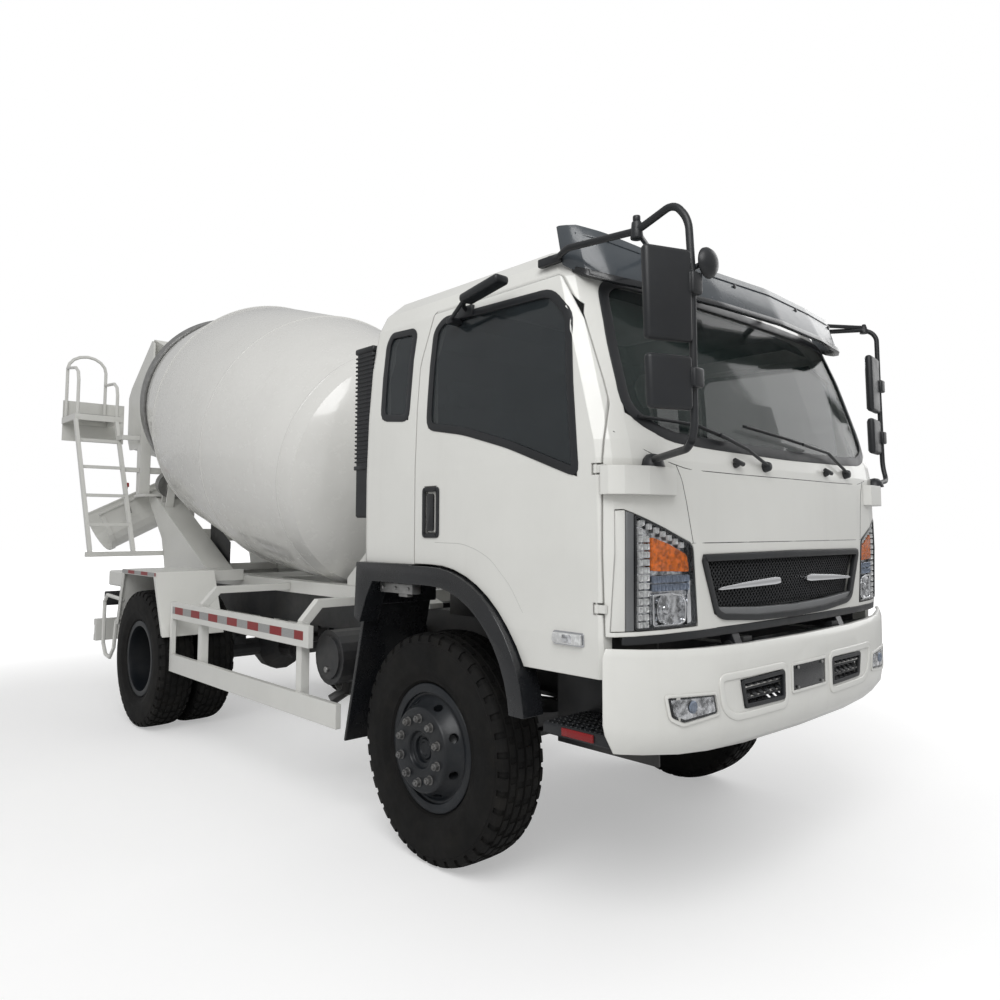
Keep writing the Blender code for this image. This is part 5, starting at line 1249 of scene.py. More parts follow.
@dataclass
class Grille:
    """Sunk air grille with a diamond mesh and two silver wings."""

    outline: Sequence[Flat] = ((-0.560, 1.178), (-0.300, 1.158), (0.0, 1.153), (0.300, 1.158), (0.560, 1.178),
                               (0.614, 1.204), (0.699, 1.415),
                               (0.690, 1.439), (0.0, 1.444), (-0.690, 1.439), (-0.699, 1.415), (-0.614, 1.204))
    wing: Sequence[Flat] = ((0.118, 1.307), (0.124, 1.328), (0.160, 1.333), (0.400, 1.322), (0.575, 1.308),
                            (0.600, 1.301), (0.575, 1.297), (0.400, 1.299), (0.160, 1.302))
    pitch: float = 0.024

    def build(self) -> None:
        """Build the surround, the mesh, the lip and the wings."""
        ring = band("grille_surround", self.outline, 0.026, 0.03, SKIN.front, -0.004, 0.024, 0.003)
        dress(ring, BLACK_PLASTIC, "cab", "black_plastic", "grille")
        back = [(a * 0.985, 1.31 + (b - 1.31) * 0.95) for a, b in self.outline]
        dress(panel("grille_back", back, SKIN.front, -0.032, -0.0375), GLOSS_BLACK, "cab", "black_plastic")
        half = [(0.300, 1.166), (0.555, 1.188), (0.600, 1.208), (0.608, 1.232), (0.300, 1.214)]
        lip = [(0.0, 1.160)] + half + [(0.0, 1.208)] + [(-a, b) for a, b in reversed(half)]
        lip = panel("grille_lip", lip, SKIN.front, 0.004, -0.024, edge=0.006)
        dress(lip, LAMP_TRIM, "cab", "grey_trim")
        self.mesh()
        for side in Side:
            outline = mirrored(side, self.wing)
            wing = panel(f"grille_wing_{side.label}", outline, SKIN.front, 0.006, -0.020, 0.006, 0.0075)
            dress(wing, CHROME, "cab", "steel")

    def mesh(self) -> None:
        """Diamond cells, row by row."""
        step = self.pitch / 2
        spots = []
        for row in range(1, 16):
            z = 1.218 + row * step
            reach = 0.585 + (z - 1.218) * 0.38 - self.pitch
            count = int(reach / self.pitch) + 1
            shift = step if row % 2 else 0.0
            spots += [SKIN.front(i * self.pitch + shift, z, -0.018)
                      for i in range(-count, count + 1) if abs(i * self.pitch + shift) < reach]
        x, y, z = spots[0]
        corners = [(x - step, y, z), (x, y, z + step), (x + step, y, z), (x, y, z - step)]
        cell = trace("cell", corners, True)
        with editing(cell, "VERT"):
            bpy.ops.mesh.select_all(action="SELECT")
            bpy.ops.mesh.edge_face_add()
        with editing(cell, "FACE"):
            bpy.ops.mesh.select_all(action="SELECT")
            bpy.ops.mesh.inset(thickness=0.0019)
            bpy.ops.mesh.delete(type="FACE")
        modify(cell, "SOLIDIFY", thickness=0.007, offset=0.0)
        dress(spread(cell, spots, "grille_mesh"), BLACK_PLASTIC, "cab", "black_plastic")


@dataclass
class BumperFace:
    """The bumper's outer form, and the lamps and openings that sit in it."""

    half: float = 1.180
    front_y: float = -1.330
    back_y: float = -1.154
    curve: Sequence[Flat] = ((0.0, 0.0), (0.40, 0.05), (0.62, 0.15), (0.76, 0.30), (0.90, 0.65), (0.975, 0.88),
                             (1.0, 1.0))
    intake: Sequence[Flat] = ((0.217, 0.953), (0.543, 0.948), (0.518, 0.837), (0.217, 0.832))
    ridge: Sequence[Flat] = ((0.190, 0.985), (0.690, 0.985), (0.668, 0.845), (0.590, 0.795), (0.190, 0.792))
    fog: Sequence[Flat] = ((0.962, 0.941), (0.699, 0.926), (0.681, 0.834), (0.886, 0.818), (0.944, 0.848))

    def front(self, x: float, z: float, lift: float = 0.0) -> Point:
        """Point on the bumper's face, lifted off it."""
        depth = Skin.between(self.curve, abs(x) / self.half, 1)
        return at(x, self.front_y + (self.back_y - self.front_y) * depth - lift, z)

    def build(self) -> None:
        """Build the shell, frames, fins, fog lamps, plate recess and its bolts."""
        shell = recut("bumper", "bumper_shell")
        soften(shell, 0.004, 2, 45.0)
        dress(smooth(shell, 42.0), WHITE, "chassis", "white_paint", "bumper")
        for side in Side:
            end = side.label
            frame_ring = band(f"intake_frame_{end}", mirrored(side, self.intake), 0.016, 0.02, self.front, -0.002,
                              0.016, 0.003)
            dress(frame_ring, BLACK_PLASTIC, "chassis", "black_plastic")
            self.fins(side)
            ridge = band(f"bumper_ridge_{end}", mirrored(side, self.ridge), 0.030, 0.05, self.front, 0.000, 0.010,
                         0.0045)
            dress(ridge, WHITE, "chassis", "white_paint")
            self.fog_lamp(side)
        # Painted shade: the gloss black plate stands partly for the recess's black bracket and partly for the shade in
        # its hole.
        plate = [(-0.152, 0.852), (0.152, 0.852), (0.152, 0.964), (-0.152, 0.964)]
        dress(panel("plate_recess", plate, self.front, 0.001, -0.004, 0.012, 0.001), GLOSS_BLACK, "chassis",
              "black_plastic")
        rim = band("plate_rim", [(-0.160, 0.844), (0.160, 0.844), (0.160, 0.972), (-0.160, 0.972)], 0.012, 0.014,
                   self.front, 0.001, 0.008, 0.003)
        dress(rim, WHITE, "chassis", "white_paint")
        spots = [self.front(x, z, 0.004) for x in (-0.110, 0.110) for z in (0.866, 0.950)]
        bolt = rod("bolt", spots[0], (spots[0][0], spots[0][1] - 0.006, spots[0][2]), 0.007, 0.001, 12)
        dress(spread(bolt, spots, "plate_bolts"), STEEL, "chassis", "steel")

    def fins(self, side: Side) -> None:
        """Two rows of sloping guide fins behind each opening."""
        spots = [self.front(side.value * (0.245 + 0.048 * i), z, -0.014) for z in (0.930, 0.888, 0.852)
                 for i in range(6)]
        x, y, z = spots[0]
        outline = [(x - 0.014, y - 0.012, z - 0.012), (x - 0.014, y + 0.010, z + 0.006),
                   (x - 0.014, y + 0.010, z + 0.010), (x - 0.014, y - 0.012, z - 0.006)]
        fin = plate("fin", outline, (0.028, 0.0, 0.0), 0.001)
        dress(spread(fin, spots, f"intake_fins_{side.label}"), BLACK_PLASTIC, "chassis", "black_plastic")
        bars = []
        for z in (0.909, 0.870):
            line = [(0.225, z - 0.004), (0.530, z - 0.004), (0.530, z + 0.004), (0.225, z + 0.004)]
            bars.append(panel("bar", mirrored(side, line), self.front, -0.004, -0.024, edge=0.002))
        dress(join(f"intake_bars_{side.label}", bars), BLACK_PLASTIC, "chassis", "black_plastic")

    def fog_lamp(self, side: Side) -> None:
        """Fog lamp: surround, chromed inside and clear cover."""
        end = side.label
        outline = mirrored(side, self.fog)
        ring = band(f"fog_surround_{end}", outline, 0.012, 0.02, self.front, 0.001, 0.009, 0.003)
        dress(ring, WHITE, "chassis", "white_paint")
        inner = [(0.822 + (a - 0.822) * 0.88, 0.881 + (b - 0.881) * 0.76) for a, b in self.fog]
        seat = panel(f"fog_seat_{end}", mirrored(side, inner), self.front, 0.0015, -0.002, 0.01)
        dress(seat, GLOSS_BLACK, "chassis", "black_plastic")
        inside = [(0.822 + (a - 0.822) * 0.80, 0.883 + (b - 0.883) * 0.62) for a, b in self.fog]
        dish = panel(f"fog_reflector_{end}", mirrored(side, inside), self.front, 0.003, 0.0, 0.008, 0.001)
        dress(dish, HOUSING, "chassis", "steel")
        centre = self.front(side.value * 0.832, 0.884, 0.003)
        eye = [(centre[0], centre[1] + b, centre[2] + a) for a, b in (
            (0.024, 0.0), (0.022, -0.005), (0.014, -0.008), (0.0, -0.009))]
        dress(smooth(turned(f"fog_bulb_{end}", eye, centre, (0, 1, 0), 28), 50.0), COOL_LENS, "chassis",
              "lamp_lens")
        cover = panel(f"fog_cover_{end}", mirrored(side, inner), self.front, 0.014, 0.012, 0.01, 0.0008)
        dress(cover, CLEAR, "chassis", "lamp_lens")


BUMPER = BumperFace()


@dataclass
class CabSeams:
    """Joints of the cab's panels, its wipers and washer nozzles."""

    def build(self) -> None:
        """Build the joints across the front, the wipers and the washer nozzles."""
        lines = [seam("seam", [(-0.755, 1.485), (0.755, 1.485)], SKIN.front)]
        cowl = [(-1.095, 1.900), (-1.000, 1.840), (-0.882, 1.794), (-0.754, 1.769), (-0.415, 1.765),
                (0.415, 1.765), (0.754, 1.769), (0.882, 1.794), (1.000, 1.840), (1.095, 1.900)]
        lines.append(seam("seam", cowl, SKIN.front, corner=0.04))
        for side in Side:
            upright = [(0.830, 1.782), (0.800, 1.728), (0.778, 1.637), (0.749, 1.487)]
            lines.append(seam("seam", mirrored(side, upright), SKIN.front, corner=0.02))
        dress(join("front_seams", lines), GLOSS_BLACK, "cab", "black_plastic")
        self.wiper("right", (-0.218, 1.808), ((-0.390, 1.872), (-0.560, 1.920)), ((-0.470, 1.905), (-0.700, 1.952),
                                                                                 (-0.995, 1.962)))
        self.wiper("left", (0.587, 1.814), ((0.369, 1.906), (0.120, 1.930)), ((0.250, 1.925), (-0.020, 1.950),
                                                                             (-0.339, 1.976)))
        stem = rod("stem", SKIN.front(0.35, 1.800, -0.004), SKIN.front(0.35, 1.812, 0.020), 0.014, 0.004, 16)
        head = rod("head", SKIN.front(0.322, 1.822, 0.018), SKIN.front(0.385, 1.806, 0.022), 0.010, 0.004, 12)
        nozzle = join("nozzle", [stem, head])
        spots = [SKIN.front(x, 1.803) for x in (0.35, -0.45)]
        dress(spread(nozzle, spots, "washer_nozzles"), BLACK_PLASTIC, "cab", "black_plastic")

    def wiper(self, name: str, pivot: Flat, arm: Sequence[Flat], blade: Sequence[Flat]) -> None:
        """Wiper with its pivot, its arm and its blade."""
        base, tip = SKIN.front(*pivot, -0.002), SKIN.front(*pivot, 0.030)
        hub = rod("hub", base, tip, 0.026, 0.006, 24, 0.018)
        line = [SKIN.front(*pivot, 0.022)] + [SKIN.front(*spot, 0.034) for spot in arm]
        reach = pipe("arm", line, 0.0075, 0.04)
        rubber = pipe("blade", [SKIN.front(*spot, 0.018) for spot in blade], 0.0065, 0.03)
        spine = pipe("spine", [SKIN.front(*spot, 0.027) for spot in blade], 0.0045, 0.03)
        dress(join(f"wiper_{name}", [hub, reach, rubber, spine]), BLACK_PLASTIC, "cab", "black_plastic")


@dataclass
class Visor:
    """Smoked visor wrapped round the top of the windscreen."""

    # Distance off the middle, then Y and Z of the upper edge and of the lower edge
    rows: Sequence[tuple[float, float, float, float, float]] = (
        (0.0, -1.155, 2.664, -1.238, 2.480), (0.45, -1.125, 2.664, -1.205, 2.484),
        (0.80, -1.060, 2.684, -1.132, 2.498), (0.97, -0.990, 2.728, -1.050, 2.516),
        (1.045, -0.910, 2.762, -0.965, 2.548), (1.075, -0.835, 2.776, -0.872, 2.592))

    def place(self, x: float, share: float, lift: float) -> Point:
        """Point between the lower edge (0) and the upper one (1)."""
        off = abs(x)
        low = [Skin.between(self.rows, off, i) for i in (3, 4)]
        high = [Skin.between(self.rows, off, i) for i in (1, 2)]
        y, z = (a + (b - a) * share for a, b in zip(low, high))
        return at(x, y - lift, z)

    def build(self) -> None:
        """Build the sheet, its lip, a crease and its mounts."""
        outline = [(-1.075, 0.0), (1.075, 0.0), (1.075, 1.0), (-1.075, 1.0)]
        sheet = panel("visor_sheet", outline, self.place, 0.006, -0.002, 0.05, 0.002, 0.03)
        dress(sheet, SMOKED, "cab", "grey_trim", "visor")
        outline = [(-1.060, -0.05), (1.060, -0.05), (1.060, 0.09), (-1.060, 0.09)]
        lip = panel("visor_lip", outline, self.place, 0.012, -0.012, 0.03, 0.004, 0.03)
        dress(lip, GLOSS_BLACK, "cab", "black_plastic")
        outline = [(-1.050, 0.80), (1.050, 0.80), (1.050, 0.835), (-1.050, 0.835)]
        crease = panel("visor_crease", outline, self.place, 0.010, 0.004, 0.0, 0.002, 0.03)
        dress(crease, SMOKED, "cab", "grey_trim")
        mounts = []
        for x in (-0.80, -0.28, 0.28, 0.80):
            top = self.place(x, 0.80, -0.004)
            low, high = (x - 0.022, top[1], top[2] - 0.012), (x + 0.022, top[1] + 0.25, top[2] + 0.004)
            mounts.append(block("mount", low, high, 0.003))
        dress(join("visor_mounts", mounts), BLACK_PLASTIC, "cab", "black_plastic")
        spots = [self.place(x, 0.72, 0.006) for x in (-0.80, -0.28, 0.28, 0.80)]
        screw = rod("screw", spots[0], (spots[0][0], spots[0][1] - 0.006, spots[0][2]), 0.011, 0.002, 14)
        dress(spread(screw, spots, "visor_screws"), GLOSS_BLACK, "cab", "black_plastic")


@dataclass
class Mirrors:
    """Mirror arms with their heads, clamps and feet."""

    tube: float = 0.0135

    def head(self, name: str, low: Point, high: Point, swing: float) -> Piece:
        """Rounded shell of a mirror head, turned about its inner edge.

        Args:
            name: The piece's name.
            low: Lowest corner, counted from the front axle; X may fall outwards.
            high: Highest corner.
            swing: Turn about the upright through the inner edge, in radians.

        Returns:
            The shell.
        """
        piece = block(name, at(*low), at(*high), 0.016, 4)
        hinge = Vector(at(low[0], (low[1] + high[1]) / 2, low[2]))
        turn = Matrix.Translation(hinge) @ Matrix.Rotation(swing, 4, "Z") @ Matrix.Translation(-hinge)
        piece.data.transform(turn)
        middle = (low[2] + high[2]) / 2
        for vertex in piece.data.vertices:
            share = (vertex.co.z - middle) / (high[2] - low[2])
            vertex.co.x += (vertex.co.x - hinge.x) * 0.06 * share
        return piece

    def glass(self, name: str, low: Point, high: Point, swing: float) -> Piece:
        """Mirror glass on the rear face of a head."""
        inset = 0.014
        out = 1 if high[0] > low[0] else -1
        low = (low[0] + out * inset, high[1] - 0.001, low[2] + inset)
        high = (high[0] - out * inset, high[1] + 0.002, high[2] - inset)
        return self.head(name, low, high, swing)

    def right(self) -> None:
        """Build the right side's mirrors, with the round one in front."""
        line = [(-1.078, -0.800, 2.640), (-1.088, -0.868, 2.628), (-1.112, -0.915, 2.645), (-1.135, -1.291, 2.606),
                (-1.148, -1.461, 2.652), (-1.150, -1.520, 2.580), (-1.150, -1.530, 2.400), (-1.150, -1.530, 1.860),
                (-1.130, -1.495, 1.808), (-0.985, -1.245, 1.796)]
        pieces = [pipe("arm", [at(*spot) for spot in line], self.tube, 0.035, resolution=4)]
        stay = [(-1.135, -1.291, 2.606), (-0.780, -1.090, 2.670)]
        pieces.append(pipe("stay", [at(*spot) for spot in stay], 0.010))
        pieces.append(rod("joint", at(-1.135, -1.291, 2.575), at(-1.135, -1.291, 2.640), 0.024, 0.005, 20, 0.018))
        pieces.append(rod("knob", at(-1.135, -1.291, 2.640), at(-1.135, -1.291, 2.662), 0.014, 0.004, 16))
        pieces.append(block("bracket", at(-1.094, -0.870, 2.612), at(-1.066, -0.745, 2.648), 0.006))
        foot = at(-0.960, -1.215, 1.7695)
        dome = [(foot[0], foot[1], foot[2] + 0.052), (foot[0] + 0.022, foot[1], foot[2] + 0.047),
                (foot[0] + 0.040, foot[1], foot[2] + 0.030), (foot[0] + 0.048, foot[1], foot[2] + 0.004),
                (foot[0] + 0.048, foot[1], foot[2])]
        pieces.append(smooth(turned("foot", dome, foot, (0, 0, 1), 32), 50.0))
        for z, tall in ((2.352, 0.075), (2.035, 0.066)):
            pieces.append(block("clamp", at(-1.185, -1.560, z - tall / 2), at(-1.128, -1.503, z + tall / 2), 0.009, 3))
        heads = (((-1.166, -1.552, 2.150), (-1.346, -1.516, 2.462)),
                 ((-1.170, -1.552, 1.925), (-1.340, -1.516, 2.105)))
        faces = []
        for low, high in heads:
            pieces.append(self.head("head", low, high, -0.38))
            faces.append(self.glass("glass", low, high, -0.38))
        disc = at(-1.100, -1.560, 2.430)
        dish = [(disc[0], disc[1] + b, disc[2] + a) for a, b in (
            (0.0, -0.028), (0.020, -0.026), (0.042, -0.016), (0.052, -0.004), (0.053, 0.004), (0.050, 0.006),
            (0.0, 0.006))]
        pieces.append(smooth(turned("disc", dish, disc, (0, 1, 0), 40), 40.0))
        pieces.append(rod("disc_stem", at(-1.115, -1.552, 2.430), at(-1.150, -1.532, 2.405), 0.009))
        dress(join("mirror_arm_right", pieces), BLACK_PLASTIC, "cab", "black_plastic", "mirrors_right")
        dress(join("mirror_glass_right", faces), MIRROR, "cab", "glass")

    def left(self) -> None:
        """Build the left side's mirrors."""
        line = [(0.990, -0.720, 2.716), (1.060, -0.790, 2.700), (1.310, -1.075, 2.712), (1.333, -1.130, 2.672),
                (1.334, -1.132, 2.400), (1.334, -1.140, 1.900), (1.318, -1.165, 1.815), (1.120, -1.195, 1.790)]
        pieces = [pipe("arm", [at(*spot) for spot in line], self.tube, 0.035, resolution=4)]
        stay = [(0.930, -0.800, 2.730), (1.306, -1.068, 2.726)]
        pieces.append(pipe("stay", [at(*spot) for spot in stay], 0.011))
        pieces.append(block("bracket", at(0.955, -0.760, 2.700), at(1.035, -0.680, 2.722), 0.005))
        pieces.append(rod("joint", at(1.308, -1.070, 2.690), at(1.308, -1.070, 2.745), 0.026, 0.004, 20, 0.010))
        foot = at(1.080, -1.195, 1.7695)
        dome = [(foot[0], foot[1], foot[2] + 0.050), (foot[0] + 0.022, foot[1], foot[2] + 0.045),
                (foot[0] + 0.040, foot[1], foot[2] + 0.028), (foot[0] + 0.047, foot[1], foot[2])]
        pieces.append(smooth(turned("foot", dome, foot, (0, 0, 1), 32), 50.0))
        for z in (2.365, 2.065):
            pieces.append(block("clamp", at(1.296, -1.165, z - 0.036), at(1.349, -1.108, z + 0.036), 0.009, 3))
        heads = (((1.310, -1.150, 2.205), (1.140, -1.112, 2.525)), ((1.306, -1.150, 1.965), (1.148, -1.112, 2.165)))
        faces = []
        for low, high in heads:
            pieces.append(self.head("head", low, high, 0.15))
            faces.append(self.glass("glass", low, high, 0.15))
        dress(join("mirror_arm_left", pieces), BLACK_PLASTIC, "cab", "black_plastic", "mirrors_left")
        dress(join("mirror_glass_left", faces), MIRROR, "cab", "glass")


@dataclass
class DoorDress:
    """Handles, door crease, side lamps, kerb mirror and latch boxes on the cab's sides."""

    handle: Sequence[Flat] = ((-0.172, 1.500), (-0.050, 1.500), (-0.050, 1.730), (-0.172, 1.730))
    lamp: Sequence[Flat] = ((-1.036, 1.104), (-0.880, 1.104), (-0.872, 1.118), (-0.880, 1.156), (-1.036, 1.156))

    def build(self, side: Side) -> None:
        """Build and dress one side."""
        end, flank = side.label, SKIN.flank(side)
        door = f"door_{end}"
        ring = band(f"handle_frame_{end}", self.handle, 0.020, 0.02, flank, 0.002, 0.008, 0.002)
        dress(ring, BLACK_PLASTIC, door, "black_plastic")
        grip = [(-0.150, 1.518), (-0.066, 1.518), (-0.066, 1.712), (-0.150, 1.712)]
        cup = panel(f"handle_cup_{end}", grip, flank, -0.014, -0.018, 0.012)
        dress(cup, GLOSS_BLACK, door, "black_plastic")
        lever = [(-0.134, 1.530), (-0.084, 1.530), (-0.084, 1.700), (-0.134, 1.700)]
        lever = panel(f"handle_lever_{end}", lever, flank, 0.007, -0.002, 0.010, 0.004)
        dress(lever, GLOSS_BLACK, door, "black_plastic")
        # Painted shade: a fine grey line where the door's crease lies in shade.
        lines = [seam("seam", [(-0.140, 1.479), (-0.329, 1.476), (-0.430, 1.452), (-0.520, 1.413),
                               (-0.639, 1.309), (-0.710, 1.207)], flank, 0.0015, 0.03)]
        dress(join(f"door_crease_{end}", lines), CREASE_SHADE, door, "white_paint")
        self.side_lamp(side)
        if side is Side.RIGHT:
            self.kerb_mirror(side)
        self.latch(side)

    def side_lamp(self, side: Side) -> None:
        """Clear side lamp low on the door's front, in a shallow surround."""
        end, flank = side.label, SKIN.flank(side)
        door = f"door_{end}"
        seat = panel(f"side_lamp_seat_{end}", self.lamp, flank, 0.003, -0.003, 0.010, 0.001)
        dress(seat, SATIN, door, "steel")
        inner = [(-0.956 + (a + 0.956) * 0.92, 1.130 + (b - 1.130) * 0.80) for a, b in self.lamp]
        lens = panel(f"side_lamp_lens_{end}", inner, flank, 0.016, 0.004, 0.008, 0.005)
        dress(lens, FROST, door, "lamp_lens")
        bulb = [(-0.985, 1.114), (-0.935, 1.114), (-0.935, 1.146), (-0.985, 1.146)]
        dress(panel(f"side_lamp_bulb_{end}", bulb, flank, 0.0175, 0.010, 0.008, 0.004), HOUSING, door, "steel")

    def kerb_mirror(self, side: Side) -> None:
        """Kerb mirror over the right door's window, on its bracket."""
        out = side.value
        shell = block("shell", at(out * 1.165, -0.655, 2.528), at(out * 1.245, -0.380, 2.566), 0.016, 4)
        for vertex in shell.data.vertices:
            back = vertex.co.y - at(0.0, -0.655, 0.0)[1]
            vertex.co.z -= back * 0.10 - 0.020
            vertex.co.x -= out * back * 0.10
        arm = pipe("arm", [at(out * 1.095, -0.300, 2.520), at(out * 1.150, -0.330, 2.535),
                           at(out * 1.185, -0.420, 2.552)], 0.011, 0.02)
        foot = block("foot", at(out * 1.080, -0.345, 2.490), at(out * 1.112, -0.245, 2.545), 0.008)
        stay = pipe("stay", [at(out * 1.150, -0.240, 2.480), at(out * 1.190, -0.400, 2.545)], 0.009)
        clip = block("clip", at(out * 1.095, -0.262, 2.465), at(out * 1.160, -0.222, 2.495), 0.006)
        dress(join("kerb_mirror", [shell, arm, foot, stay, clip]), BLACK_PLASTIC, "cab", "black_plastic")

    def latch(self, side: Side) -> None:
        """Cab latch box behind the wheel arch, with its bolts."""
        out = side.value
        box = block("box", at(out * 1.075, 0.060, 1.400), at(out * 1.128, 0.330, 1.450), 0.006)
        tab = block("tab", at(out * 1.085, 0.110, 1.385), at(out * 1.120, 0.180, 1.402), 0.003)
        bolts = [rod("bolt", at(out * 1.126, y, 1.425), at(out * 1.134, y, 1.425), 0.010, 0.002, 6)
                 for y in (0.090, 0.195, 0.300)]
        for piece in (tab, *bolts, box):
            piece.data.transform(Matrix.Translation((0.0, 0.0, -0.170)))
        dress(join(f"cab_latch_{side.label}", [box, tab, *bolts]), STEEL, "cab", "steel")


@dataclass
class Underbody:
    """Black strip below the cab, a dark sheet of painted shade behind the bumper, step treads, tape and rear lamps."""

    def build(self) -> None:
        """Build what both sides have, then the tail."""
        outline = [(-1.085, 1.118), (1.085, 1.118), (1.085, 1.149), (-1.085, 1.149)]
        strip = panel("cab_lower_strip", outline, SKIN.front, 0.001, -0.004, 0.01, 0.001)
        dress(strip, BLACK_PLASTIC, "cab", "black_plastic")
        self.shelf()
        for side in Side:
            self.step(side)
            self.tapes(side)
            self.tail(side)
            self.arch(side)

    def shelf(self) -> None:
        """Dark sheet behind the bumper's upper edge, painted shade for the gap under the cab, left open round the tilt
        arms.
        """
        middle = [(-0.355, -1.284), (0.0, -1.288), (0.355, -1.284), (0.355, -1.200), (-0.355, -1.200)]
        flank = [(0.515, -1.279), (0.700, -1.266), (0.860, -1.246), (0.860, -1.190), (0.515, -1.190)]
        twin = [(-x, y) for x, y in reversed(flank)]
        sheets = [plate("sheet", [at(x, y, 1.066) for x, y in outline], (0.0, 0.0, 0.008), 0.001)
                  for outline in (middle, flank, twin)]
        dress(join("bumper_shelf", sheets), BLACK_PLASTIC, "chassis", "black_plastic")

    def step(self, side: Side) -> None:
        """Raised studs on the step and the red reflector on its edge."""
        out = side.value
        spots = [at(out * (0.890 + 0.036 * i), -1.100 + 0.024 * j, 0.7955) for i in range(7) for j in range(13)]
        x, y, z = spots[0]
        stud = rod("stud", (x, y, z - 0.001), (x, y, z + 0.004), 0.0085, 0.001, 6, 0.005)
        dress(spread(stud, spots, f"step_tread_{side.label}"), BLACK_PLASTIC, "chassis", "black_plastic")
        low, high = at(out * 1.1195, -1.058, 0.760), at(out * 1.1275, -0.900, 0.790)
        dress(block(f"step_reflector_{side.label}", low, high, 0.002), RED, "chassis", "lamp_lens")

    def tapes(self, side: Side) -> None:
        """Reflective tape along the side guard and the rear wheel cover."""
        out = side.value
        low, high = at(out * 1.1498, 1.050, 0.920), at(out * 1.1510, 3.000, 0.970)
        guard = block(f"guard_tape_{side.label}", low, high, 0.0003, 1)
        dress(guard, TAPE, "chassis", "white_paint")
        low, high = at(out * 1.1998, 3.230, 1.181), at(out * 1.2010, 4.000, 1.208)
        lip = block(f"fender_tape_{side.label}", low, high, 0.0003, 1)
        dress(lip, TAPE, "chassis", "white_paint")

    def arch(self, side: Side) -> None:
        """Rounded black arch over the front wheel, and the dark panels inside."""
        end, out = side.label, side.value
        arch = recut(f"front_fender_{end}", f"wheel_arch_{end}")
        low, high = at(out * 1.00, -0.900, 0.600), at(out * 1.30, -0.560, 0.800)
        carve(arch, [block("cutter", low, high, 0.0005, 1)])
        soften(arch, 0.022, 4, 50.0)
        dress(smooth(arch, 40.0), GLOSS_BLACK, "cab", "black_plastic", f"front_fender_{end}")
        liner = block("liner", at(out * 0.600, -0.700, 1.075), at(out * 0.612, 0.420, 1.370), 0.003)
        dress(join(f"arch_liner_{end}", [liner]), CHASSIS, "cab", "black_plastic")
        splash = block(f"splash_panel_{end}", at(out * 0.846, -1.150, 0.640), at(out * 0.858, -0.625, 1.140), 0.003)
        dress(splash, CHASSIS, "chassis", "black_plastic")

    def tail(self, side: Side) -> None:
        """Rear lamp cluster beside the rear beam, and its arm."""
        out = side.value
        low, high = at(out * 0.780, 4.6425, 0.862), at(out * 1.130, 4.700, 0.985)
        case = block(f"tail_case_{side.label}", low, high, 0.008)
        dress(case, BLACK_PLASTIC, "chassis", "black_plastic")
        for name, start, end, finish in (("stop", 0.795, 0.900, RED), ("turn", 0.906, 1.010, AMBER),
                                         ("back", 1.016, 1.115, FROST)):
            lens = block(f"tail_{name}_{side.label}", at(out * start, 4.699, 0.875), at(out * end, 4.712, 0.972),
                         0.004)
            dress(lens, finish, "chassis", "lamp_lens")
        arm = block("arm", at(out * 0.700, 4.650, 0.900), at(out * 0.790, 4.675, 0.930), 0.003)
        post = block("post", at(out * 0.700, 4.650, 0.800), at(out * 0.730, 4.675, 0.930), 0.003)
        dress(join(f"tail_arm_{side.label}", [arm, post]), CHASSIS, "chassis", "chassis_paint")


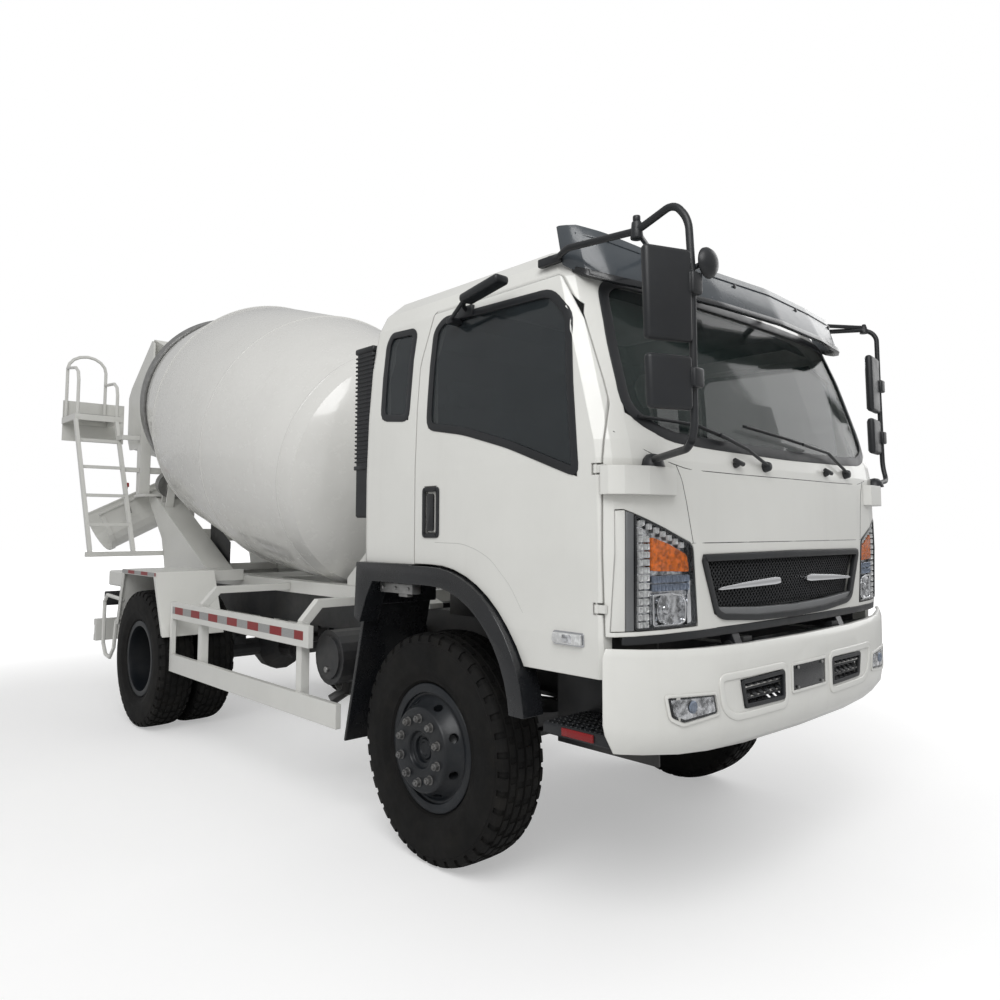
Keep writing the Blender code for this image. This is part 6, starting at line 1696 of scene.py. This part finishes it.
@dataclass
class RearDress:
    """Ribs of the intake duct and small fittings round the drum's back end."""

    def build(self) -> None:
        """Build the ribs, the duct's cap, the lever, the platform's treads, the guard's sheet, and the silencer's and
        tank's fittings.
        """
        ribs = []
        for i in range(26):
            z = 1.900 + 0.023 * i
            ribs.append(block("rib", at(-1.016, 0.594, z), at(-0.854, 0.766, z + 0.011), 0.004, 1))
        dress(join("duct_ribs", ribs), BLACK_PLASTIC, "cab", "black_plastic")
        cap = block("cap", at(-1.018, 0.590, 2.500), at(-0.852, 0.770, 2.535), 0.012, 3)
        clamp = block("clamp", at(-1.018, 0.592, 1.860), at(-0.852, 0.768, 1.884), 0.006)
        dress(join("duct_cap", [cap, clamp]), BLACK_PLASTIC, "cab", "black_plastic")
        lever = pipe("lever", [at(-0.700, 5.420, 1.700), at(-0.760, 5.400, 1.880), at(-0.760, 5.380, 1.960)],
                     0.009, 0.03)
        dress(lever, STEEL, "chassis", "steel")
        knob = rod("lever_knob", at(-0.760, 5.380, 1.955), at(-0.760, 5.375, 2.000), 0.020, 0.008, 20, 0.016)
        dress(knob, RED_KNOB, "chassis", "lamp_lens")
        slats = [block("slat", at(-1.185, y, 2.6805), at(-0.770, y + 0.012, 2.688), 0.002, 1)
                 for y in (5.630 + 0.040 * i for i in range(11))]
        dress(join("platform_treads", slats), STEEL, "chassis", "steel")
        corners = [at(0.0, 3.980, 1.170), at(0.0, 3.980, 1.420), at(0.0, 4.420, 1.640), at(0.0, 4.420, 1.170)]
        sheet = plate("drum_guard_sheet", [(-0.300, b, c) for _, b, c in corners], (0.006, 0.0, 0.0), 0.001)
        dress(sheet, CHASSIS, "chassis", "chassis_paint")
        self.silencer()
        self.tank()

    def silencer(self) -> None:
        """Straps and centre stud of the silencer drum."""
        low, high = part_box("silencer")
        middle = (low + high) / 2
        radius = (high.y - low.y) / 2
        straps = []
        for x in (-0.95, -0.62):
            profile = [(x, middle.y, middle.z + radius + 0.001), (x, middle.y, middle.z + radius + 0.006),
                       (x + 0.032, middle.y, middle.z + radius + 0.006),
                       (x + 0.032, middle.y, middle.z + radius + 0.001), (x, middle.y, middle.z + radius + 0.001)]
            straps.append(smooth(turned("strap", profile, (0.0, middle.y, middle.z), (1, 0, 0), 48)))
        dress(join("silencer_straps", straps), STEEL, "chassis", "steel")
        stud = rod("silencer_stud", (low.x + 0.004, middle.y, middle.z), (low.x - 0.014, middle.y, middle.z), 0.018,
                   0.003, 6)
        dress(stud, STEEL, "chassis", "steel")

    def tank(self) -> None:
        """Fuel tank straps and filler cap."""
        low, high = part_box("fuel_tank")
        straps = [block("strap", (low.x + 0.08, y, high.z - 0.001), (high.x + 0.004, y + 0.045, high.z + 0.004), 0.001)
                  for y in (low.y + 0.16, high.y - 0.20)]
        straps += [block("strap", (high.x - 0.001, y, low.z + 0.03),
                         (high.x + 0.004, y + 0.045, high.z + 0.004), 0.001)
                   for y in (low.y + 0.16, high.y - 0.20)]
        dress(join("tank_straps", straps), STEEL, "chassis", "steel")
        place = (high.x - 0.12, (low.y + high.y) / 2, high.z - 0.002)
        cap = rod("tank_cap", place, (place[0], place[1], place[2] + 0.035), 0.048, 0.006, 32)
        dress(cap, GLOSS_BLACK, "chassis", "black_plastic")


@dataclass
class Studio:
    """Floor, light and camera."""

    lens: float = 28.51
    place: Point = (-3.3548, -5.25955, 1.5399)
    turn: Point = (math.pi / 2 + 0.0736, 0.0, -0.7547)
    shift: Flat = (-0.0137, -0.0295)

    def floor(self) -> None:
        """Pale floor, wide enough for every view, that glows to the camera as painted light."""
        bpy.ops.object.select_all(action="DESELECT")
        bpy.ops.mesh.primitive_circle_add(vertices=64, radius=60.0, fill_type="NGON", location=(0, 0, -0.002))
        floor = settle(bpy.context.object, "studio_floor")
        page = Page("studio_floor")
        cloud = page.noise(0.6, 3.0).step(0.3, 0.7)
        colour = page.mix(cloud, (0.70, 0.70, 0.70), (0.72, 0.72, 0.72))
        # Painted light: seen by the camera the floor glows, faintly near the truck, which pales its shadow, and fully
        # white far off.
        away = page.node("ShaderNodeVectorMath", {"operation": "LENGTH"}, {0: page.place()}, "Value")
        lift = page.mix(away.step(3.5, 9.0), (0.38, 0.38, 0.38), (1.0, 1.0, 1.0))
        seen = page.node("ShaderNodeLightPath", output="Is Camera Ray")
        glow = page.mix(seen, (0.0, 0.0, 0.0), lift)
        floor.data.materials.append(page.close({"Base Color": colour, "Roughness": 0.9,
                                                "Specular IOR Level": 0.0, "Emission Color": glow,
                                                "Emission Strength": 1.0}))

    def world(self) -> None:
        """White behind the object, and a plain soft light on it."""
        world = bpy.data.worlds.new("studio")
        world.use_nodes = True
        tree = world.node_tree
        tree.nodes.clear()
        path = tree.nodes.new("ShaderNodeLightPath")
        seen = tree.nodes.new("ShaderNodeMath")
        seen.operation = "MAXIMUM"
        tree.links.new(path.outputs["Is Camera Ray"], seen.inputs[0])
        tree.links.new(path.outputs["Is Transmission Ray"], seen.inputs[1])
        soft = tree.nodes.new("ShaderNodeBackground")
        soft.inputs["Color"].default_value = (1, 1, 1, 1)
        soft.inputs["Strength"].default_value = 0.50
        white = tree.nodes.new("ShaderNodeBackground")
        white.inputs["Color"].default_value = (1, 1, 1, 1)
        white.inputs["Strength"].default_value = 1.0
        blend = tree.nodes.new("ShaderNodeMixShader")
        tree.links.new(seen.outputs[0], blend.inputs[0])
        tree.links.new(soft.outputs[0], blend.inputs[1])
        tree.links.new(white.outputs[0], blend.inputs[2])
        end = tree.nodes.new("ShaderNodeOutputWorld")
        tree.links.new(blend.outputs[0], end.inputs[0])
        bpy.context.scene.world = world

    def lamp(self, name: str, place: Point, target: Point, size: float, power: float) -> None:
        """Square soft box aimed at a point."""
        data = bpy.data.lights.new(name, "AREA")
        data.shape = "SQUARE"
        data.size = size
        data.energy = power
        lamp = bpy.data.objects.new(name, data)
        lamp.location = place
        lamp.rotation_euler = (Vector(target) - Vector(place)).to_track_quat("-Z", "Y").to_euler()
        bpy.context.scene.collection.objects.link(lamp)

    def camera(self) -> None:
        """Camera at the photograph's viewing angle."""
        data = bpy.data.cameras.new("camera")
        data.lens = self.lens
        data.sensor_width = 36.0
        data.shift_x, data.shift_y = self.shift
        data.clip_end = 200.0
        camera = bpy.data.objects.new("camera", data)
        camera.location = self.place
        camera.rotation_euler = self.turn
        bpy.context.scene.collection.objects.link(camera)
        bpy.context.scene.camera = camera

    def build(self) -> None:
        """Build the floor, the lights and the camera."""
        self.floor()
        self.world()
        self.lamp("key_light", (-5.5, -6.5, 7.0), (0.0, -0.5, 1.2), 5.0, 400.0)
        self.lamp("fill_light", (7.0, -3.0, 5.0), (0.0, 0.0, 1.2), 6.0, 160.0)
        self.camera()
        bpy.context.scene.view_settings.view_transform = "Standard"


CAD_FINISHES = {
    "frame": CHASSIS, "front_axle": CHASSIS, "rear_axle": CHASSIS, "driveline": CHASSIS, "silencer": CHASSIS,
    "knuckle_right": CHASSIS, "knuckle_left": CHASSIS, "fuel_tank": ALLOY, "subframe": WHITE,
    "front_pedestal": WHITE, "rear_pedestal": WHITE, "drum_gearbox": STEEL, "hopper": WHITE,
    "chute": WHITE, "chute_carrier": BLACK_PLASTIC, "roller_right": STEEL, "roller_left": STEEL,
    "ladder_platform": WHITE, "rear_panel": WHITE, "side_guard_right": WHITE, "side_guard_left": WHITE,
    "rear_fender_right": WHITE, "rear_fender_left": WHITE, "rear_bumper": WHITE, "bumper": WHITE,
    "step_right": BLACK_PLASTIC, "step_left": BLACK_PLASTIC, "cab_shell": CAB_WHITE, "door_right": CAB_WHITE,
    "door_left": CAB_WHITE, "windscreen": SCREEN_GLASS, "door_glass_right": SIDE_GLASS,
    "door_glass_left": SIDE_GLASS, "quarter_glass_right": SIDE_GLASS, "quarter_glass_left": SIDE_GLASS,
    "headlamp_right": FROST, "headlamp_left": FROST, "grille": BLACK_PLASTIC, "visor": SMOKED,
    "front_fender_right": BLACK_PLASTIC, "front_fender_left": BLACK_PLASTIC, "mirrors_right": BLACK_PLASTIC,
    "mirrors_left": BLACK_PLASTIC, "intake_duct": BLACK_PLASTIC, "seats": SEAT_CLOTH, "dashboard": TRIM,
}


def main() -> None:
    """Dress the truck."""
    logging.basicConfig(level=logging.INFO, format="%(message)s")
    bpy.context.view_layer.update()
    for node, finish in CAD_FINISHES.items():
        coat_node(node, finish)
    for side in Side:
        FrontWheel().build(side)
        TwinWheels().build(side)
    Drum().build()
    Glazing().build()
    for side in Side:
        Headlamp().build(side)
    Grille().build()
    BUMPER.build()
    CabSeams().build()
    Visor().build()
    Mirrors().right()
    Mirrors().left()
    for side in Side:
        DoorDress().build(side)
    Underbody().build()
    RearDress().build()
    Studio().build()


if __name__ == "__main__":
    main()
